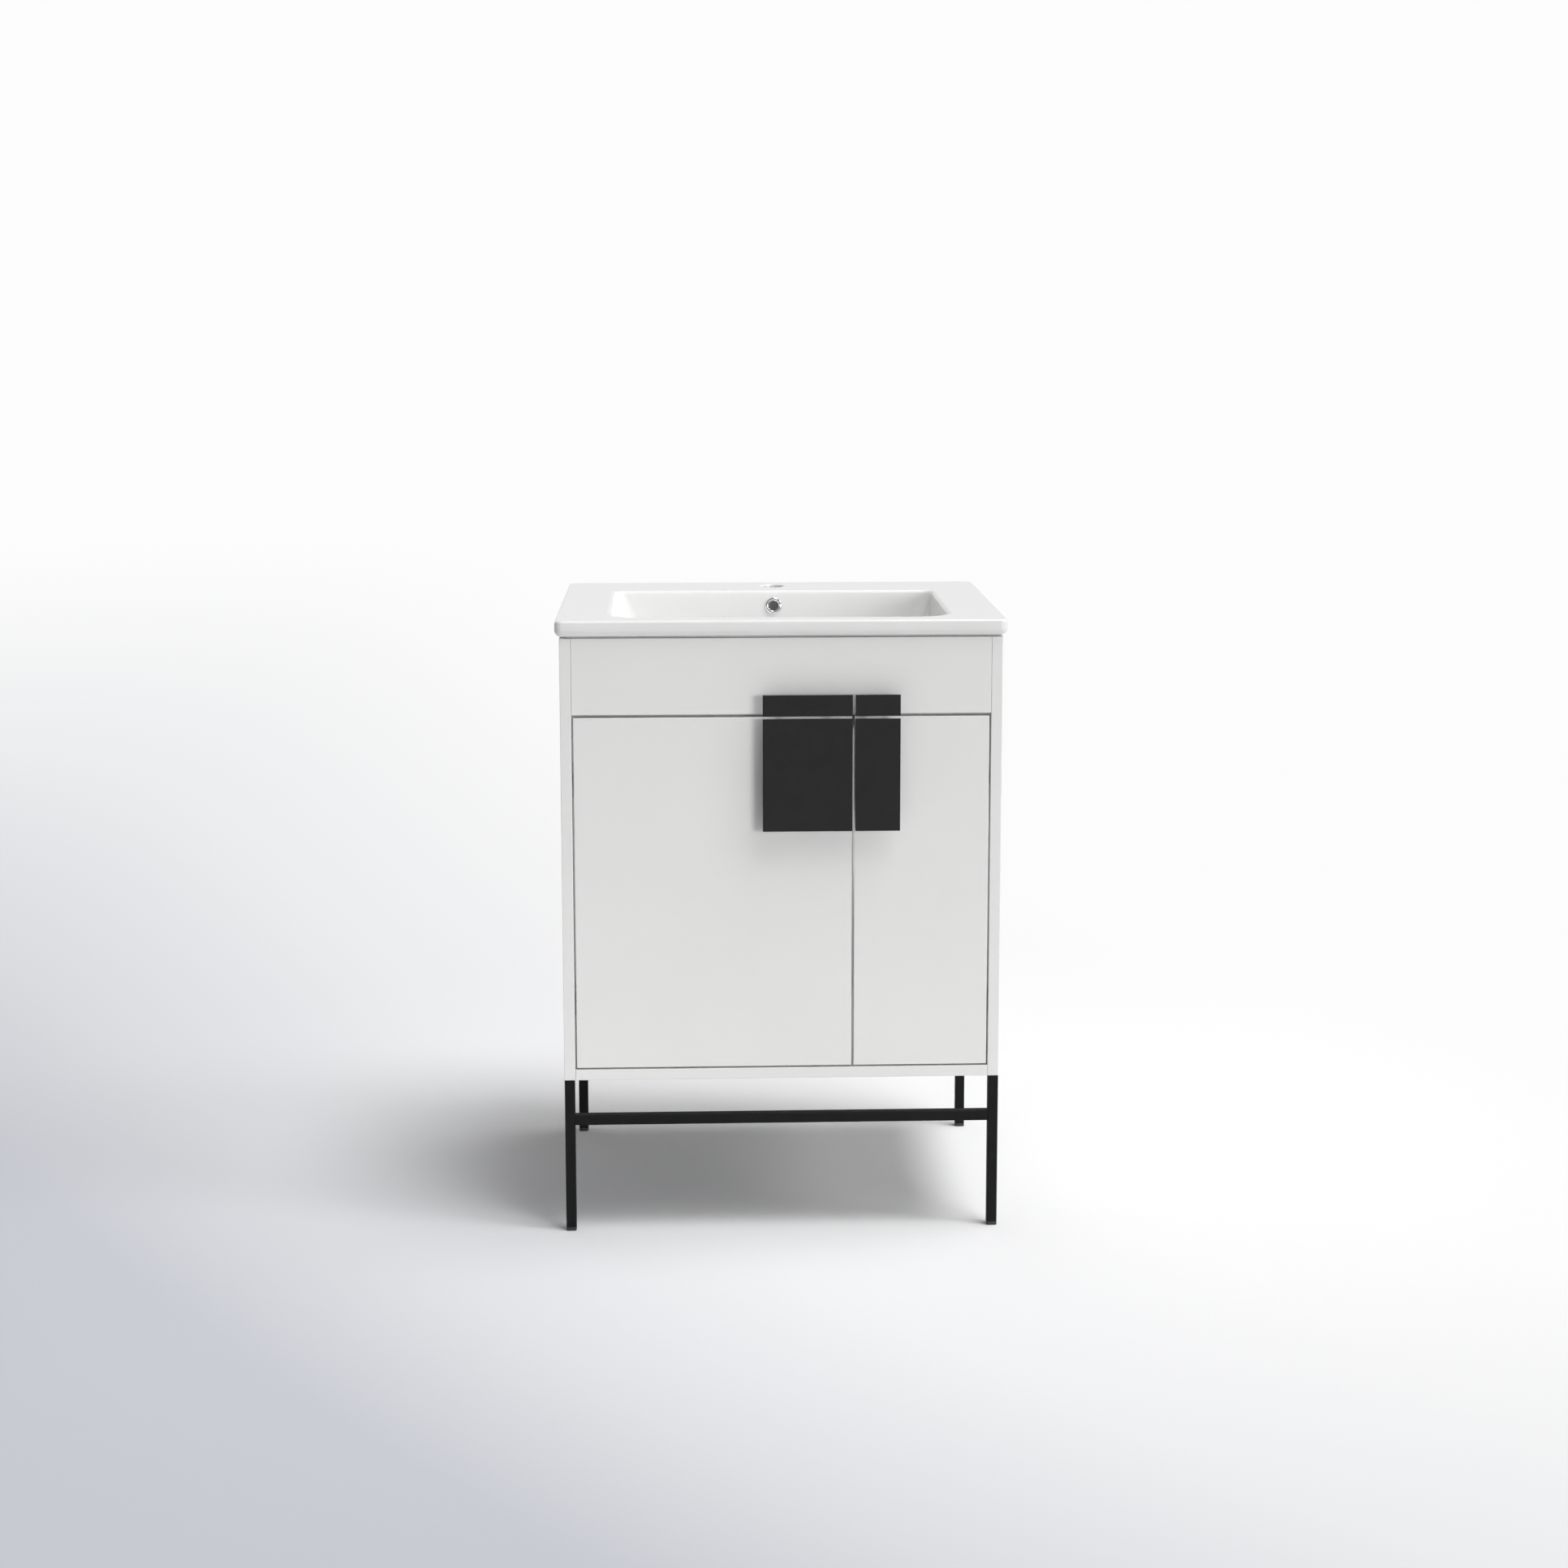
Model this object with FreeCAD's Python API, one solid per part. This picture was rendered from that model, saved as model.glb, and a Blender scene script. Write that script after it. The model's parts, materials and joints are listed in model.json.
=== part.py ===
"""Bathroom vanity cabinet: a one-piece ceramic sink top on a two-door cabinet that stands on a steel
leg frame. Sizes are in millimetres. X runs to the right as seen from the front, Y to the back, Z up."""
import FreeCAD, Part
import math
import os

# While the pieces are made, x = 0 is the middle of the cabinet, y = 0 its front plane and z = 0 the
# floor. The export at the end moves everything so that the origin is under the middle of the whole box.

# ---- sink top -------------------------------------------------------------------------------------
overall_height = 850.0
sink_width = 610.0
sink_depth = 470.0
sink_edge_height = 22.0
sink_side_overhang = 6.5
sink_front_overhang = 5.0
sink_corner_radius = 11.0
sink_top_edge_radius = 3.5
sink_low_edge_radius = 9.0
deck_thickness = 12.0
flange_lap = 6.0                # how far the bearing flange reaches in past the boards it rests on
basin_width = 465.0
basin_front_rim = 39.0          # front edge of the sink to the basin
basin_back_deck = 115.0         # basin to the back edge of the sink
basin_front_corner = 52.0
basin_back_corner = 14.0
basin_corner_growth = 0.35      # corner radius gained per millimetre of depth
basin_side_draft = 11.0         # degrees
basin_front_draft = 18.0
basin_back_draft = 8.0
basin_rim_radius = 5.0
basin_wall_depth = 92.0         # deck to where the walls turn into the floor
basin_bottom_radius = 36.0
basin_wall = 10.0
dish_radius = 84.0              # round part of the floor that falls to the drain
dish_fall = 7.0
drain_offset = 8.0              # drain centre behind the middle of the basin
drain_radius = 22.5
drain_seat_radius = 31.0
drain_seat_depth = 4.0
drain_boss_wall = 10.0
drain_boss_height = 40.0
faucet_radius = 17.5
faucet_edge_distance = 52.0     # hole centre to the back edge of the sink
faucet_rim_bevel = 1.5
overflow_depth = 22.0           # below the deck
overflow_radius = 8.0
overflow_channel_width = 44.0
overflow_channel_gap = 9.0
overflow_channel_skin = 6.0
overflow_ring_radius = 12.5
overflow_ring_height = 3.0
overflow_sleeve_wall = 1.0
overflow_sleeve_length = 8.0
seal_height = 2.0
seal_width = 7.0
seal_inset = 4.5

# ---- cabinet boards -------------------------------------------------------------------------------
board = 15.0
fascia_thickness = 18.0
fascia_height = 104.0
back_rail_height = 80.0
back_panel_thickness = 3.0
back_panel_groove = 5.0          # how far the panel reaches into each side panel
back_panel_lap = 12.0            # how far it covers each back rail
pipe_opening_width = 200.0
pipe_opening_height = 260.0
pipe_opening_corner = 20.0
board_edge_radius = 0.8
stop_rail_height = 30.0
stop_rail_thickness = 12.0
stop_rail_lap = 8.0             # how far the rail reaches up behind the fascia
stop_rail_setback = 48.0        # from each side panel, clear of the doors' swing
wall_hole_radius = 3.0
wall_hole_spacing = 400.0
dowel_radius = 4.0
dowel_in_side = 10.0
dowel_in_board = 20.0

# ---- doors ----------------------------------------------------------------------------------------
right_door_width = 182.8
gap_side = 2.4
gap_middle = 3.2
gap_top = 4.0
gap_bottom = 2.5
bumper_thickness = 2.0
bumper_radius = 4.5
bumper_drop = 9.0               # below the door's top edge
bumper_setback = 62.0           # from the door's side edges

# ---- handle: four flat plates on posts that make one square across the gaps -------------------------
plate_thickness = 3.0
plate_projection = 20.0
plate_gap = 4.0
left_plate_width = 121.0
right_plate_width = 60.5
upper_plate_height = 28.5
lower_plate_height = 153.5
plate_edge_radius = 0.5
post_radius = 5.0               # across the corners: the posts are hexagonal spacers
post_spacing_lower = 96.0
post_spacing_upper_left = 64.0
post_spacing_upper_right = 32.0
post_screw_bite = 10.0

# ---- concealed hinges -----------------------------------------------------------------------------
hinge_end_distance = 90.0       # hinge centre to the door's top or bottom edge
cup_radius = 17.5
cup_bore_depth = 12.5
cup_edge_distance = 4.0
cup_sheet = 0.8
cup_flange_width = 38.0
cup_flange_height = 54.0
cup_flange_thickness = 1.0
cup_screw_spacing = 45.0
cup_screw_offset = 5.5
pin_radius = 1.6
pin_edge_distance = 17.0        # door's side edge to the pin
pin_depth = 8.0                 # door's front face to the pin
eye_radius = 3.0
eye_height = 12.0
arm_thickness = 2.4
arm_reach = 22.0                # pin to the middle of the bent strip
arm_angle = 33.0                # degrees; the way the arm leaves the pin
arm_rail_gap = 6.9              # side panel to the middle of the arm's rail
arm_rail_width = 14.0
arm_rail_end = 62.0             # behind the pin
base_wing_thickness = 2.0
base_wing_length = 16.0
base_wing_half_height = 24.0
base_line = 37.0                # cabinet's front to the line of the base plate's screws
base_screw_spacing = 32.0
arm_screw_distance = 48.0       # behind the pin
arm_screw_radius = 2.0
arm_screw_bite = 4.0

# ---- leg frame ------------------------------------------------------------------------------------
leg_height = 215.0
tube = 14.0
tube_wall = 1.5
tube_corner_radius = 1.5
rear_leg_inset = 13.0           # room for a skirting board
bar_center_height = 158.0
cap_height = 5.0
cap_plug_length = 12.0
cap_bevel = 1.2
leg_plate_width = 52.0
leg_plate_length = 40.0
leg_plate_thickness = 2.0
leg_plate_screw_margin = 8.0

# ---- screws and clearances ------------------------------------------------------------------------
wood_screw_radius = 1.8
wood_screw_length = 11.0
small_head_radius = 3.4
small_head_height = 1.8
post_screw_radius = 2.0
post_head_radius = 4.0
post_head_height = 2.2
fit_gap = 0.1                   # pieces that slip together and stay together
running_gap = 0.05              # radial, eye on pin
glue_gap = 0.05                 # dowels and screws in their holes
fastener_sides = 6              # spacers, screws, dowels, bumpers and their holes are prisms, to keep faces few

# ---- places that follow from the sizes above --------------------------------------------------------
cabinet_width = sink_width - 2 * sink_side_overhang
cabinet_back = sink_depth - sink_front_overhang
cabinet_bottom = leg_height
cabinet_top = overall_height - sink_edge_height - seal_height
inner_half = cabinet_width / 2 - board
floor_top = cabinet_bottom + board
fascia_bottom = cabinet_top - fascia_height
door_thickness = fascia_thickness - bumper_thickness
back_panel_y = (cabinet_back - board - back_panel_thickness, cabinet_back - board)
back_panel_z = (floor_top + back_rail_height - back_panel_lap, cabinet_top - back_rail_height + back_panel_lap)
door_bottom = floor_top + gap_bottom
door_top = fascia_bottom - gap_top
door_edge = inner_half - gap_side
split_x = door_edge - right_door_width - gap_middle / 2
split_z = (door_top + fascia_bottom) / 2
left_door_x = (-door_edge, split_x - gap_middle / 2)
right_door_x = (split_x + gap_middle / 2, door_edge)

sink_front = -sink_front_overhang
sink_under = overall_height - sink_edge_height
basin_front = sink_front + basin_front_rim
basin_back = cabinet_back - basin_back_deck
drain_y = (basin_front + basin_back) / 2 + drain_offset
floor_depth = basin_wall_depth + basin_bottom_radius
drain_depth = floor_depth + dish_fall
drain_boss_bottom = overall_height - drain_depth - drain_boss_height
faucet_y = cabinet_back - faucet_edge_distance

pin_x = door_edge - pin_edge_distance
pin_to_panel = pin_edge_distance + gap_side
cup_center = cup_radius + cup_edge_distance - pin_edge_distance      # from the pin
door_back = door_thickness - pin_depth                                # from the pin
cup_floor = door_back - cup_bore_depth + fit_gap + cup_sheet          # from the pin
hinge_heights = {"lower": door_bottom + hinge_end_distance, "upper": door_top - hinge_end_distance}

plate_top_z = (split_z + plate_gap / 2, split_z + plate_gap / 2 + upper_plate_height)
plate_low_z = (split_z - plate_gap / 2 - lower_plate_height, split_z - plate_gap / 2)
plate_left_x = (split_x - plate_gap / 2 - left_plate_width, split_x - plate_gap / 2)
plate_right_x = (split_x + plate_gap / 2, split_x + plate_gap / 2 + right_plate_width)
plate_y = (-plate_projection, plate_thickness - plate_projection)

leg_x = (cabinet_width / 2 - tube, cabinet_width / 2)
front_leg_y = (0.0, tube)
rear_leg_y = (cabinet_back - rear_leg_inset - tube, cabinet_back - rear_leg_inset)

X = FreeCAD.Vector(1, 0, 0)
Y = FreeCAD.Vector(0, 1, 0)
Z = FreeCAD.Vector(0, 0, 1)
ORIGIN = FreeCAD.Vector(0, 0, 0)


def point(x, y, z):
    return FreeCAD.Vector(x, y, z)


def block(x, y, z):
    """A box from a (low, high) pair for each axis."""
    size = [pair[1] - pair[0] for pair in (x, y, z)]
    return Part.makeBox(size[0], size[1], size[2], point(x[0], y[0], z[0]))


def rod(radius, start, end):
    """A cylinder between two points."""
    along = end.sub(start)
    return Part.makeCylinder(radius, along.Length, start, along)


def prism(radius, start, end):
    """A prism with flat sides between two points that lie along one axis."""
    along = end.sub(start)
    across, up = (Y, Z) if abs(along.x) > 0 else (X, Z) if abs(along.y) > 0 else (X, Y)
    turns = [2 * math.pi * (step + 0.5) / fastener_sides for step in range(fastener_sides)]
    ring = [start + across * (radius * math.cos(a)) + up * (radius * math.sin(a)) for a in turns]
    return Part.Face(Part.makePolygon(ring + ring[:1])).extrude(along)


def mirrored(side, low, high):
    """The x pair of a piece that lies from low to high on one side, -1 left or 1 right."""
    return (side * low, side * high) if side > 0 else (side * high, side * low)


def around(center, half):
    return (center - half, center + half)


def fillet_where(shape, radius, keep):
    """Round every edge whose bounding box passes the test."""
    edges = [edge for edge in shape.Edges if keep(edge.BoundBox)]
    return shape.makeFillet(radius, edges)


def on_front(shape):
    """A test for the edges that bound the shape's frontmost face."""
    front = shape.BoundBox.YMin
    return lambda box: abs(box.YMin - front) < 1e-4 and abs(box.YMax - front) < 1e-4


def upright(box):
    """A test for straight edges that stand along Z."""
    return box.XLength < 1e-4 and box.YLength < 1e-4


def front_to_back(box):
    """A test for straight edges that run along Y."""
    return box.XLength < 1e-4 and box.ZLength < 1e-4


def fused(shapes):
    whole = shapes[0].fuse(shapes[1:]) if len(shapes) > 1 else shapes[0]
    return whole.removeSplitter()


# ---- sink top -------------------------------------------------------------------------------------
def rounded_wire(half, front, back, r_front, r_back, z):
    """A level rectangle with four corner arcs and four sides, always begun at the same corner."""
    corners = [(half, back, r_back, 0), (-half, back, r_back, 90),
               (-half, front, r_front, 180), (half, front, r_front, 270)]
    arcs = []
    for x, y, radius, start in corners:
        center_x = x - math.copysign(radius, x)
        center_y = y - radius if start < 180 else y + radius
        turns = [math.radians(start + turn) for turn in (0, 45, 90)]
        arcs.append([point(center_x + radius * math.cos(a), center_y + radius * math.sin(a), z) for a in turns])
    edges = []
    for arc, following in zip(arcs, arcs[1:] + arcs[:1]):
        edges.append(Part.Arc(*arc).toShape())
        edges.append(Part.LineSegment(arc[2], following[0]).toShape())
    return Part.Wire(edges)


def basin_back_at(depth):
    """The back wall's place at a depth below the deck, from its draft."""
    return basin_back - depth * math.tan(math.radians(basin_back_draft))


def basin_wire(depth, inset, grow, corner_growth):
    """One level section of the basin: the opening at a depth below the deck, drawn in by the walls'
    drafts and by inset, and let out by grow for the outer skin. Back corners open out with depth."""
    half = basin_width / 2 - depth * math.tan(math.radians(basin_side_draft)) - inset + grow
    front = basin_front + depth * math.tan(math.radians(basin_front_draft)) + inset - grow
    back = basin_back_at(depth) - inset + grow
    r_front = basin_front_corner + grow + corner_growth * depth / 3
    r_back = basin_back_corner + grow + corner_growth * depth
    return rounded_wire(half, front, back, r_front, r_back, overall_height - depth)


def quarter_turn(count):
    return [math.radians(90.0 * step / count) for step in range(count + 1)]


def wall_foot(grow, lower, steps):
    """(depth, inset) pairs of the round from the walls into the floor, lower below the wall's foot."""
    radius = basin_bottom_radius + grow
    foot = basin_wall_depth + lower
    return [(foot + radius * math.sin(a), radius * (1 - math.cos(a))) for a in quarter_turn(steps)]


def basin_cavity():
    """The space inside the basin, from just above the deck to the floor, with its rounded rim."""
    rim = [(basin_rim_radius * (1 - math.cos(a)), basin_rim_radius * (math.sin(a) - 1))
           for a in quarter_turn(2)]
    wall = [(basin_rim_radius + (basin_wall_depth - basin_rim_radius) * step / 3, 0) for step in (1, 2)]
    wires = [basin_wire(depth, inset, 0, basin_corner_growth) for depth, inset in rim + wall + wall_foot(0, 0, 3)]
    above = wires[0].copy()
    above.translate(Z)
    return Part.makeLoft([above] + wires, True, True)


def basin_skin():
    """The outside of the basin, one wall thickness out from the cavity, with a flat bottom."""
    levels = [(deck_thickness / 2, 0), (basin_wall_depth / 2, 0)] + wall_foot(basin_wall, dish_fall, 3)
    return Part.makeLoft([basin_wire(depth, inset, basin_wall, 0) for depth, inset in levels], True, True)


def back_path(grow, end_y):
    """Points down the middle of the basin's back wall and along its floor, grow outside the cavity."""
    levels = [(overflow_depth / 2, 0)] + wall_foot(grow, dish_fall, 3)
    path = [(basin_back_at(depth) - inset + grow, overall_height - depth) for depth, inset in levels]
    return path + [(end_y, overall_height - drain_depth - grow)]


def channel_slab(inner, outer, width, end_y):
    """A slab of the overflow channel between two offsets of the back path."""
    outline = back_path(inner, end_y) + back_path(outer, end_y)[::-1]
    points = [point(-width / 2, y, z) for y, z in outline]
    face = Part.Face(Part.makePolygon(points + points[:1]))
    return face.extrude(X * width)


def overflow_axis():
    """The overflow hole's middle on the back wall, and the way into the wall."""
    draft = math.radians(basin_back_draft)
    mouth = point(0, basin_back_at(overflow_depth), overall_height - overflow_depth)
    return mouth, point(0, math.cos(draft), -math.sin(draft))


def sink_slab():
    """The rim and deck: a slab with a pocket under it, so that only a flange rests on the boards."""
    half = sink_width / 2
    slab = block((-half, half), (sink_front, cabinet_back), (sink_under, overall_height))
    slab = fillet_where(slab, sink_corner_radius, upright)
    slab = fillet_where(slab, sink_top_edge_radius, lambda box: box.ZMin > overall_height - 1e-4)
    slab = fillet_where(slab, sink_low_edge_radius, lambda box: box.ZMax < sink_under + 1e-4)
    pocket_half = inner_half - flange_lap
    pocket_y = (basin_front, cabinet_back - board - flange_lap)
    pocket = block((-pocket_half, pocket_half), pocket_y, (sink_under, overall_height - deck_thickness))
    return slab.cut(fillet_where(pocket, sink_corner_radius, upright))


def sink_top():
    channel_outer = basin_wall + overflow_channel_gap + overflow_channel_skin
    channel_width = overflow_channel_width + 2 * overflow_channel_skin
    boss_radius = drain_radius + drain_boss_wall
    boss = rod(boss_radius, point(0, drain_y, drain_boss_bottom), point(0, drain_y, overall_height - floor_depth))
    bulge = channel_slab(basin_wall / 2, channel_outer, channel_width, drain_y)
    body = sink_slab().fuse([basin_skin(), boss, bulge])
    body = body.cut(basin_cavity())
    body = body.cut(channel_slab(basin_wall, basin_wall + overflow_channel_gap, overflow_channel_width,
                                 drain_y + drain_radius / 2))
    floor_z = overall_height - drain_depth
    dish = Part.makeCone(drain_seat_radius, dish_radius, dish_fall, point(0, drain_y, floor_z))
    seat = Part.makeCone(drain_radius, drain_seat_radius, drain_seat_depth,
                         point(0, drain_y, floor_z - drain_seat_depth))
    bore = rod(drain_radius, point(0, drain_y, drain_boss_bottom), point(0, drain_y, floor_z))
    faucet = rod(faucet_radius, point(0, faucet_y, sink_under), point(0, faucet_y, overall_height))
    bevel = Part.makeCone(faucet_radius, faucet_radius + faucet_rim_bevel, faucet_rim_bevel,
                          point(0, faucet_y, overall_height - faucet_rim_bevel))
    mouth, inward = overflow_axis()
    overflow = rod(overflow_radius, mouth - inward * overflow_radius,
                   mouth + inward * (basin_wall + overflow_channel_gap / 2))
    return body.cut([dish, seat, bore, faucet, bevel, overflow])


def overflow_ring():
    """A crowned chrome ring with a sleeve that slips into the overflow hole."""
    inner = overflow_radius - fit_gap - overflow_sleeve_wall
    sleeve = overflow_radius - fit_gap
    outer = overflow_ring_radius
    crown = (inner + outer) / 2
    top = overflow_ring_height
    corners = [(inner, -overflow_sleeve_length), (inner, top / 2), (crown, top), (outer, 0),
               (sleeve, 0), (sleeve, -overflow_sleeve_length)]
    outline = Part.makePolygon([point(x, 0, z) for x, z in corners + corners[:1]])
    ring = Part.Face(outline).revolve(ORIGIN, Z, 360)
    mouth, inward = overflow_axis()
    return placed(ring, mouth - inward * fit_gap, inward * -1)


def placed(shape, where, axis):
    """A shape made along Z, turned to an axis and moved to a point."""
    shape.Placement = FreeCAD.Placement(where, FreeCAD.Rotation(Z, axis))
    return shape


def sink_seal():
    """The bead that the sink is bedded on, along the top edges of the boards."""
    half = cabinet_width / 2 - seal_inset
    z = (cabinet_top, cabinet_top + seal_height)
    outer = block((-half, half), (seal_inset, cabinet_back - seal_inset), z)
    inner = block((seal_width - half, half - seal_width),
                  (seal_inset + seal_width, cabinet_back - seal_inset - seal_width), z)
    return outer.cut(inner)


# ---- screws and dowels ------------------------------------------------------------------------------
def screw(head, way, radius, length, head_radius, head_height):
    """A pan-head screw: head is the middle of the seat under the head, way points along the shank."""
    shank = prism(radius, head, head + way * length)
    return shank.fuse(prism(head_radius, head, head - way * head_height))


def screw_hole(head, way, radius, length):
    return prism(radius + glue_gap, head, head + way * (length + fit_gap))


def dowel_places():
    """(y, z) of the dowels that join each side panel to what stands between the side panels."""
    bottom_z = cabinet_bottom + board / 2
    rail_y = cabinet_back - board / 2
    step = back_rail_height / 4
    places = [(cabinet_back / 4, bottom_z), (cabinet_back * 3 / 4, bottom_z)]
    places += [(fascia_thickness / 2, fascia_bottom + fascia_height * share) for share in (0.25, 0.75)]
    places += [(rail_y, floor_top + step * turn) for turn in (1, 3)]
    places += [(rail_y, cabinet_top - step * turn) for turn in (1, 3)]
    return places


def dowel(side, y, z, grow, extra):
    x = mirrored(side, inner_half - dowel_in_board - extra, inner_half + dowel_in_side + extra)
    return prism(dowel_radius + grow, point(x[0], y, z), point(x[1], y, z))


def dowels():
    return Part.makeCompound([dowel(side, y, z, 0, 0) for side in (-1, 1) for y, z in dowel_places()])


def with_dowel_holes(shape):
    """Cut the dowel holes that reach the shape."""
    return shape.cut([dowel(side, y, z, glue_gap, fit_gap) for side in (-1, 1) for y, z in dowel_places()])


# ---- cabinet boards -----------------------------------------------------------------------------------
def grown(pair, gap):
    return (pair[0] - gap, pair[1] + gap)


def back_panel_space(gap):
    """The back panel before its opening is cut, and with a gap all round the groove that takes its edge."""
    half = inner_half + back_panel_groove + gap
    return block((-half, half), grown(back_panel_y, gap), grown(back_panel_z, gap))


def back_panel():
    """A thin board that lies against the back rails, with an opening for the pipes."""
    z = around(sum(back_panel_z) / 2, pipe_opening_height / 2)
    opening = block(around(0, pipe_opening_width / 2), back_panel_y, z)
    return back_panel_space(0).cut(fillet_where(opening, pipe_opening_corner, front_to_back))


def side_panel(side):
    x = mirrored(side, inner_half, cabinet_width / 2)
    panel = block(x, (0, cabinet_back), (cabinet_bottom, cabinet_top))
    panel = fillet_where(panel, board_edge_radius, on_front(panel))
    panel = with_dowel_holes(panel).cut(back_panel_space(fit_gap))
    return panel.cut([screw_hole(*place) for place in base_screw_places(side)])


def bottom_panel():
    panel = block((-inner_half, inner_half), (0, cabinet_back), (cabinet_bottom, floor_top))
    panel = fillet_where(panel, board_edge_radius, on_front(panel))
    holes = [screw_hole(*place) for place in leg_screw_places()]
    return with_dowel_holes(panel).cut(holes)


def front_fascia():
    fascia = block((-inner_half, inner_half), (0, fascia_thickness), (fascia_bottom, cabinet_top))
    fascia = with_dowel_holes(fillet_where(fascia, board_edge_radius, on_front(fascia)))
    holes = [post_screw_hole(place, fascia_thickness) for place in upper_post_places()]
    return fascia.cut(holes)


def door_stop_rail():
    """Glued behind the fascia's lower edge: the doors' bumpers close against it."""
    half = inner_half - stop_rail_setback
    z = (fascia_bottom + stop_rail_lap - stop_rail_height, fascia_bottom + stop_rail_lap)
    return block((-half, half), (fascia_thickness, fascia_thickness + stop_rail_thickness), z)


def back_rail(z):
    rail = block((-inner_half, inner_half), (cabinet_back - board, cabinet_back), z)
    return with_dowel_holes(rail)


def back_bottom_rail():
    return back_rail((floor_top, floor_top + back_rail_height))


def back_top_rail():
    """The rail that is screwed to the wall."""
    rail = back_rail((cabinet_top - back_rail_height, cabinet_top))
    z = cabinet_top - back_rail_height / 2
    holes = [rod(wall_hole_radius, point(x, cabinet_back - board, z), point(x, cabinet_back, z))
             for x in around(0, wall_hole_spacing / 2)]
    return rail.cut(holes)


# ---- handle plates ------------------------------------------------------------------------------------
def handle_plate(x, z):
    plate = block(x, plate_y, z)
    return fillet_where(plate, plate_edge_radius, on_front(plate))


def middle(pair):
    return (pair[0] + pair[1]) / 2


def upper_post_places():
    z = middle(plate_top_z)
    places = [(x, z) for x in around(middle(plate_left_x), post_spacing_upper_left / 2)]
    return places + [(x, z) for x in around(middle(plate_right_x), post_spacing_upper_right / 2)]


def lower_post_places(plate_x):
    return [(middle(plate_x), z) for z in around(middle(plate_low_z), post_spacing_lower / 2)]


def post(place):
    """A post between the board's face and its plate, tapped from behind for its screw."""
    x, z = place
    body = prism(post_radius, point(x, plate_y[1], z), point(x, 0, z))
    return body.cut(prism(post_screw_radius + glue_gap, point(x, 0, z), point(x, -post_screw_bite - fit_gap, z)))


def post_screw(place, thickness):
    x, z = place
    return screw(point(x, thickness, z), Y * -1, post_screw_radius, thickness + post_screw_bite,
                 post_head_radius, post_head_height)


def post_screw_hole(place, thickness):
    x, z = place
    return prism(post_screw_radius + glue_gap, point(x, 0, z), point(x, thickness, z))


def posts(places):
    return Part.makeCompound([post(place) for place in places])


def post_screws(places, thickness):
    return Part.makeCompound([post_screw(place, thickness) for place in places])


# ---- hinges: made about the pin of a left door, with the cabinet's side panel at -X ---------------------
def hinge_placed(shape, side, height):
    """Move a hinge piece to its pin on one side of the cabinet, mirrored for the right side."""
    if side > 0:
        shape = shape.mirror(ORIGIN, X)
    shape.translate(point(side * pin_x, pin_depth, height))
    return shape


def cup_bore(radius, bottom):
    return rod(radius, point(cup_center, bottom, 0), point(cup_center, door_back, 0))


def cup_screw_places():
    x = cup_center + cup_screw_offset
    return [(point(x, door_back + cup_flange_thickness, z), Y * -1) for z in around(0, cup_screw_spacing / 2)]


def hinge_cup():
    """A pressed cup with a flange on the door's back and two lugs that carry the pin."""
    inner_radius = cup_radius - fit_gap - cup_sheet
    shell = cup_bore(cup_radius - fit_gap, cup_floor - cup_sheet)
    flange_y = (door_back, door_back + cup_flange_thickness)
    flange = block(around(cup_center, cup_flange_width / 2), flange_y, around(0, cup_flange_height / 2))
    hollow = rod(inner_radius, point(cup_center, cup_floor, 0), point(cup_center, flange_y[1] + 1, 0))
    cup = shell.fuse(flange).cut(hollow)
    lug = block(around(0, eye_radius), (cup_floor - cup_sheet / 2, eye_radius), around(0, cup_radius))
    lug_gap = block(around(0, cup_radius), around(0, cup_radius), around(0, eye_height / 2 + fit_gap * 3))
    lugs = lug.cut(lug_gap).common(cup_bore(inner_radius + cup_sheet / 2, cup_floor - cup_sheet / 2))
    cup = cup.fuse(lugs)
    holes = [rod(pin_radius + running_gap, point(0, 0, -pin_half()), point(0, 0, pin_half()))]
    holes += [prism(wood_screw_radius + glue_gap, head, head + way * cup_flange_thickness)
              for head, way in cup_screw_places()]
    return cup.cut(holes)


def pin_half():
    """Half the pin's length: it ends just inside the cup's wall."""
    inner_radius = cup_radius - fit_gap - cup_sheet
    return math.sqrt(inner_radius ** 2 - (cup_center + pin_radius) ** 2)


def hinge_pin():
    return rod(pin_radius, point(0, 0, fit_gap - pin_half()), point(0, 0, pin_half() - fit_gap))


def rail_x():
    """The middle of the arm's rail, between the side panel and the pin."""
    return arm_rail_gap - pin_to_panel


def hinge_arm():
    """An eye on the pin, a bent strip that clears the door's edge as it swings, and a channel rail."""
    half_strip = arm_thickness / 2
    height = around(0, eye_height / 2)
    eye = rod(eye_radius, point(0, 0, height[0]), point(0, 0, height[1]))
    spoke = block((0, arm_reach + half_strip), around(0, half_strip), height)
    spoke.rotate(ORIGIN, Z, arm_angle)
    rail_front = arm_reach - half_strip
    bend = Part.makeCylinder(arm_reach + half_strip, eye_height, point(0, 0, height[0]), Z, 90 - arm_angle)
    bend = bend.cut(rod(rail_front, point(0, 0, height[0]), point(0, 0, height[1])))
    bend.rotate(ORIGIN, Z, arm_angle)
    web_x = around(rail_x(), half_strip)
    crosspiece = block((web_x[0], 0), around(arm_reach, half_strip), height)
    rail_y = (rail_front, arm_rail_end)
    web = block(web_x, rail_y, around(0, arm_rail_width / 2))
    lip_x = (base_wing_thickness + fit_gap - pin_to_panel, web_x[1])
    lips = [block(lip_x, rail_y, mirrored(side, arm_rail_width / 2 - arm_thickness, arm_rail_width / 2))
            for side in (-1, 1)]
    arm = fused([eye, spoke, bend, crosspiece, web] + lips)
    pin_hole = rod(pin_radius + running_gap, point(0, 0, height[0]), point(0, 0, height[1]))
    head, way = arm_screw_place()
    return arm.cut([pin_hole, prism(arm_screw_radius + glue_gap, head, head + way * arm_thickness)])


def arm_screw_place():
    return point(rail_x() + arm_thickness / 2, arm_screw_distance, 0), X * -1


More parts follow.
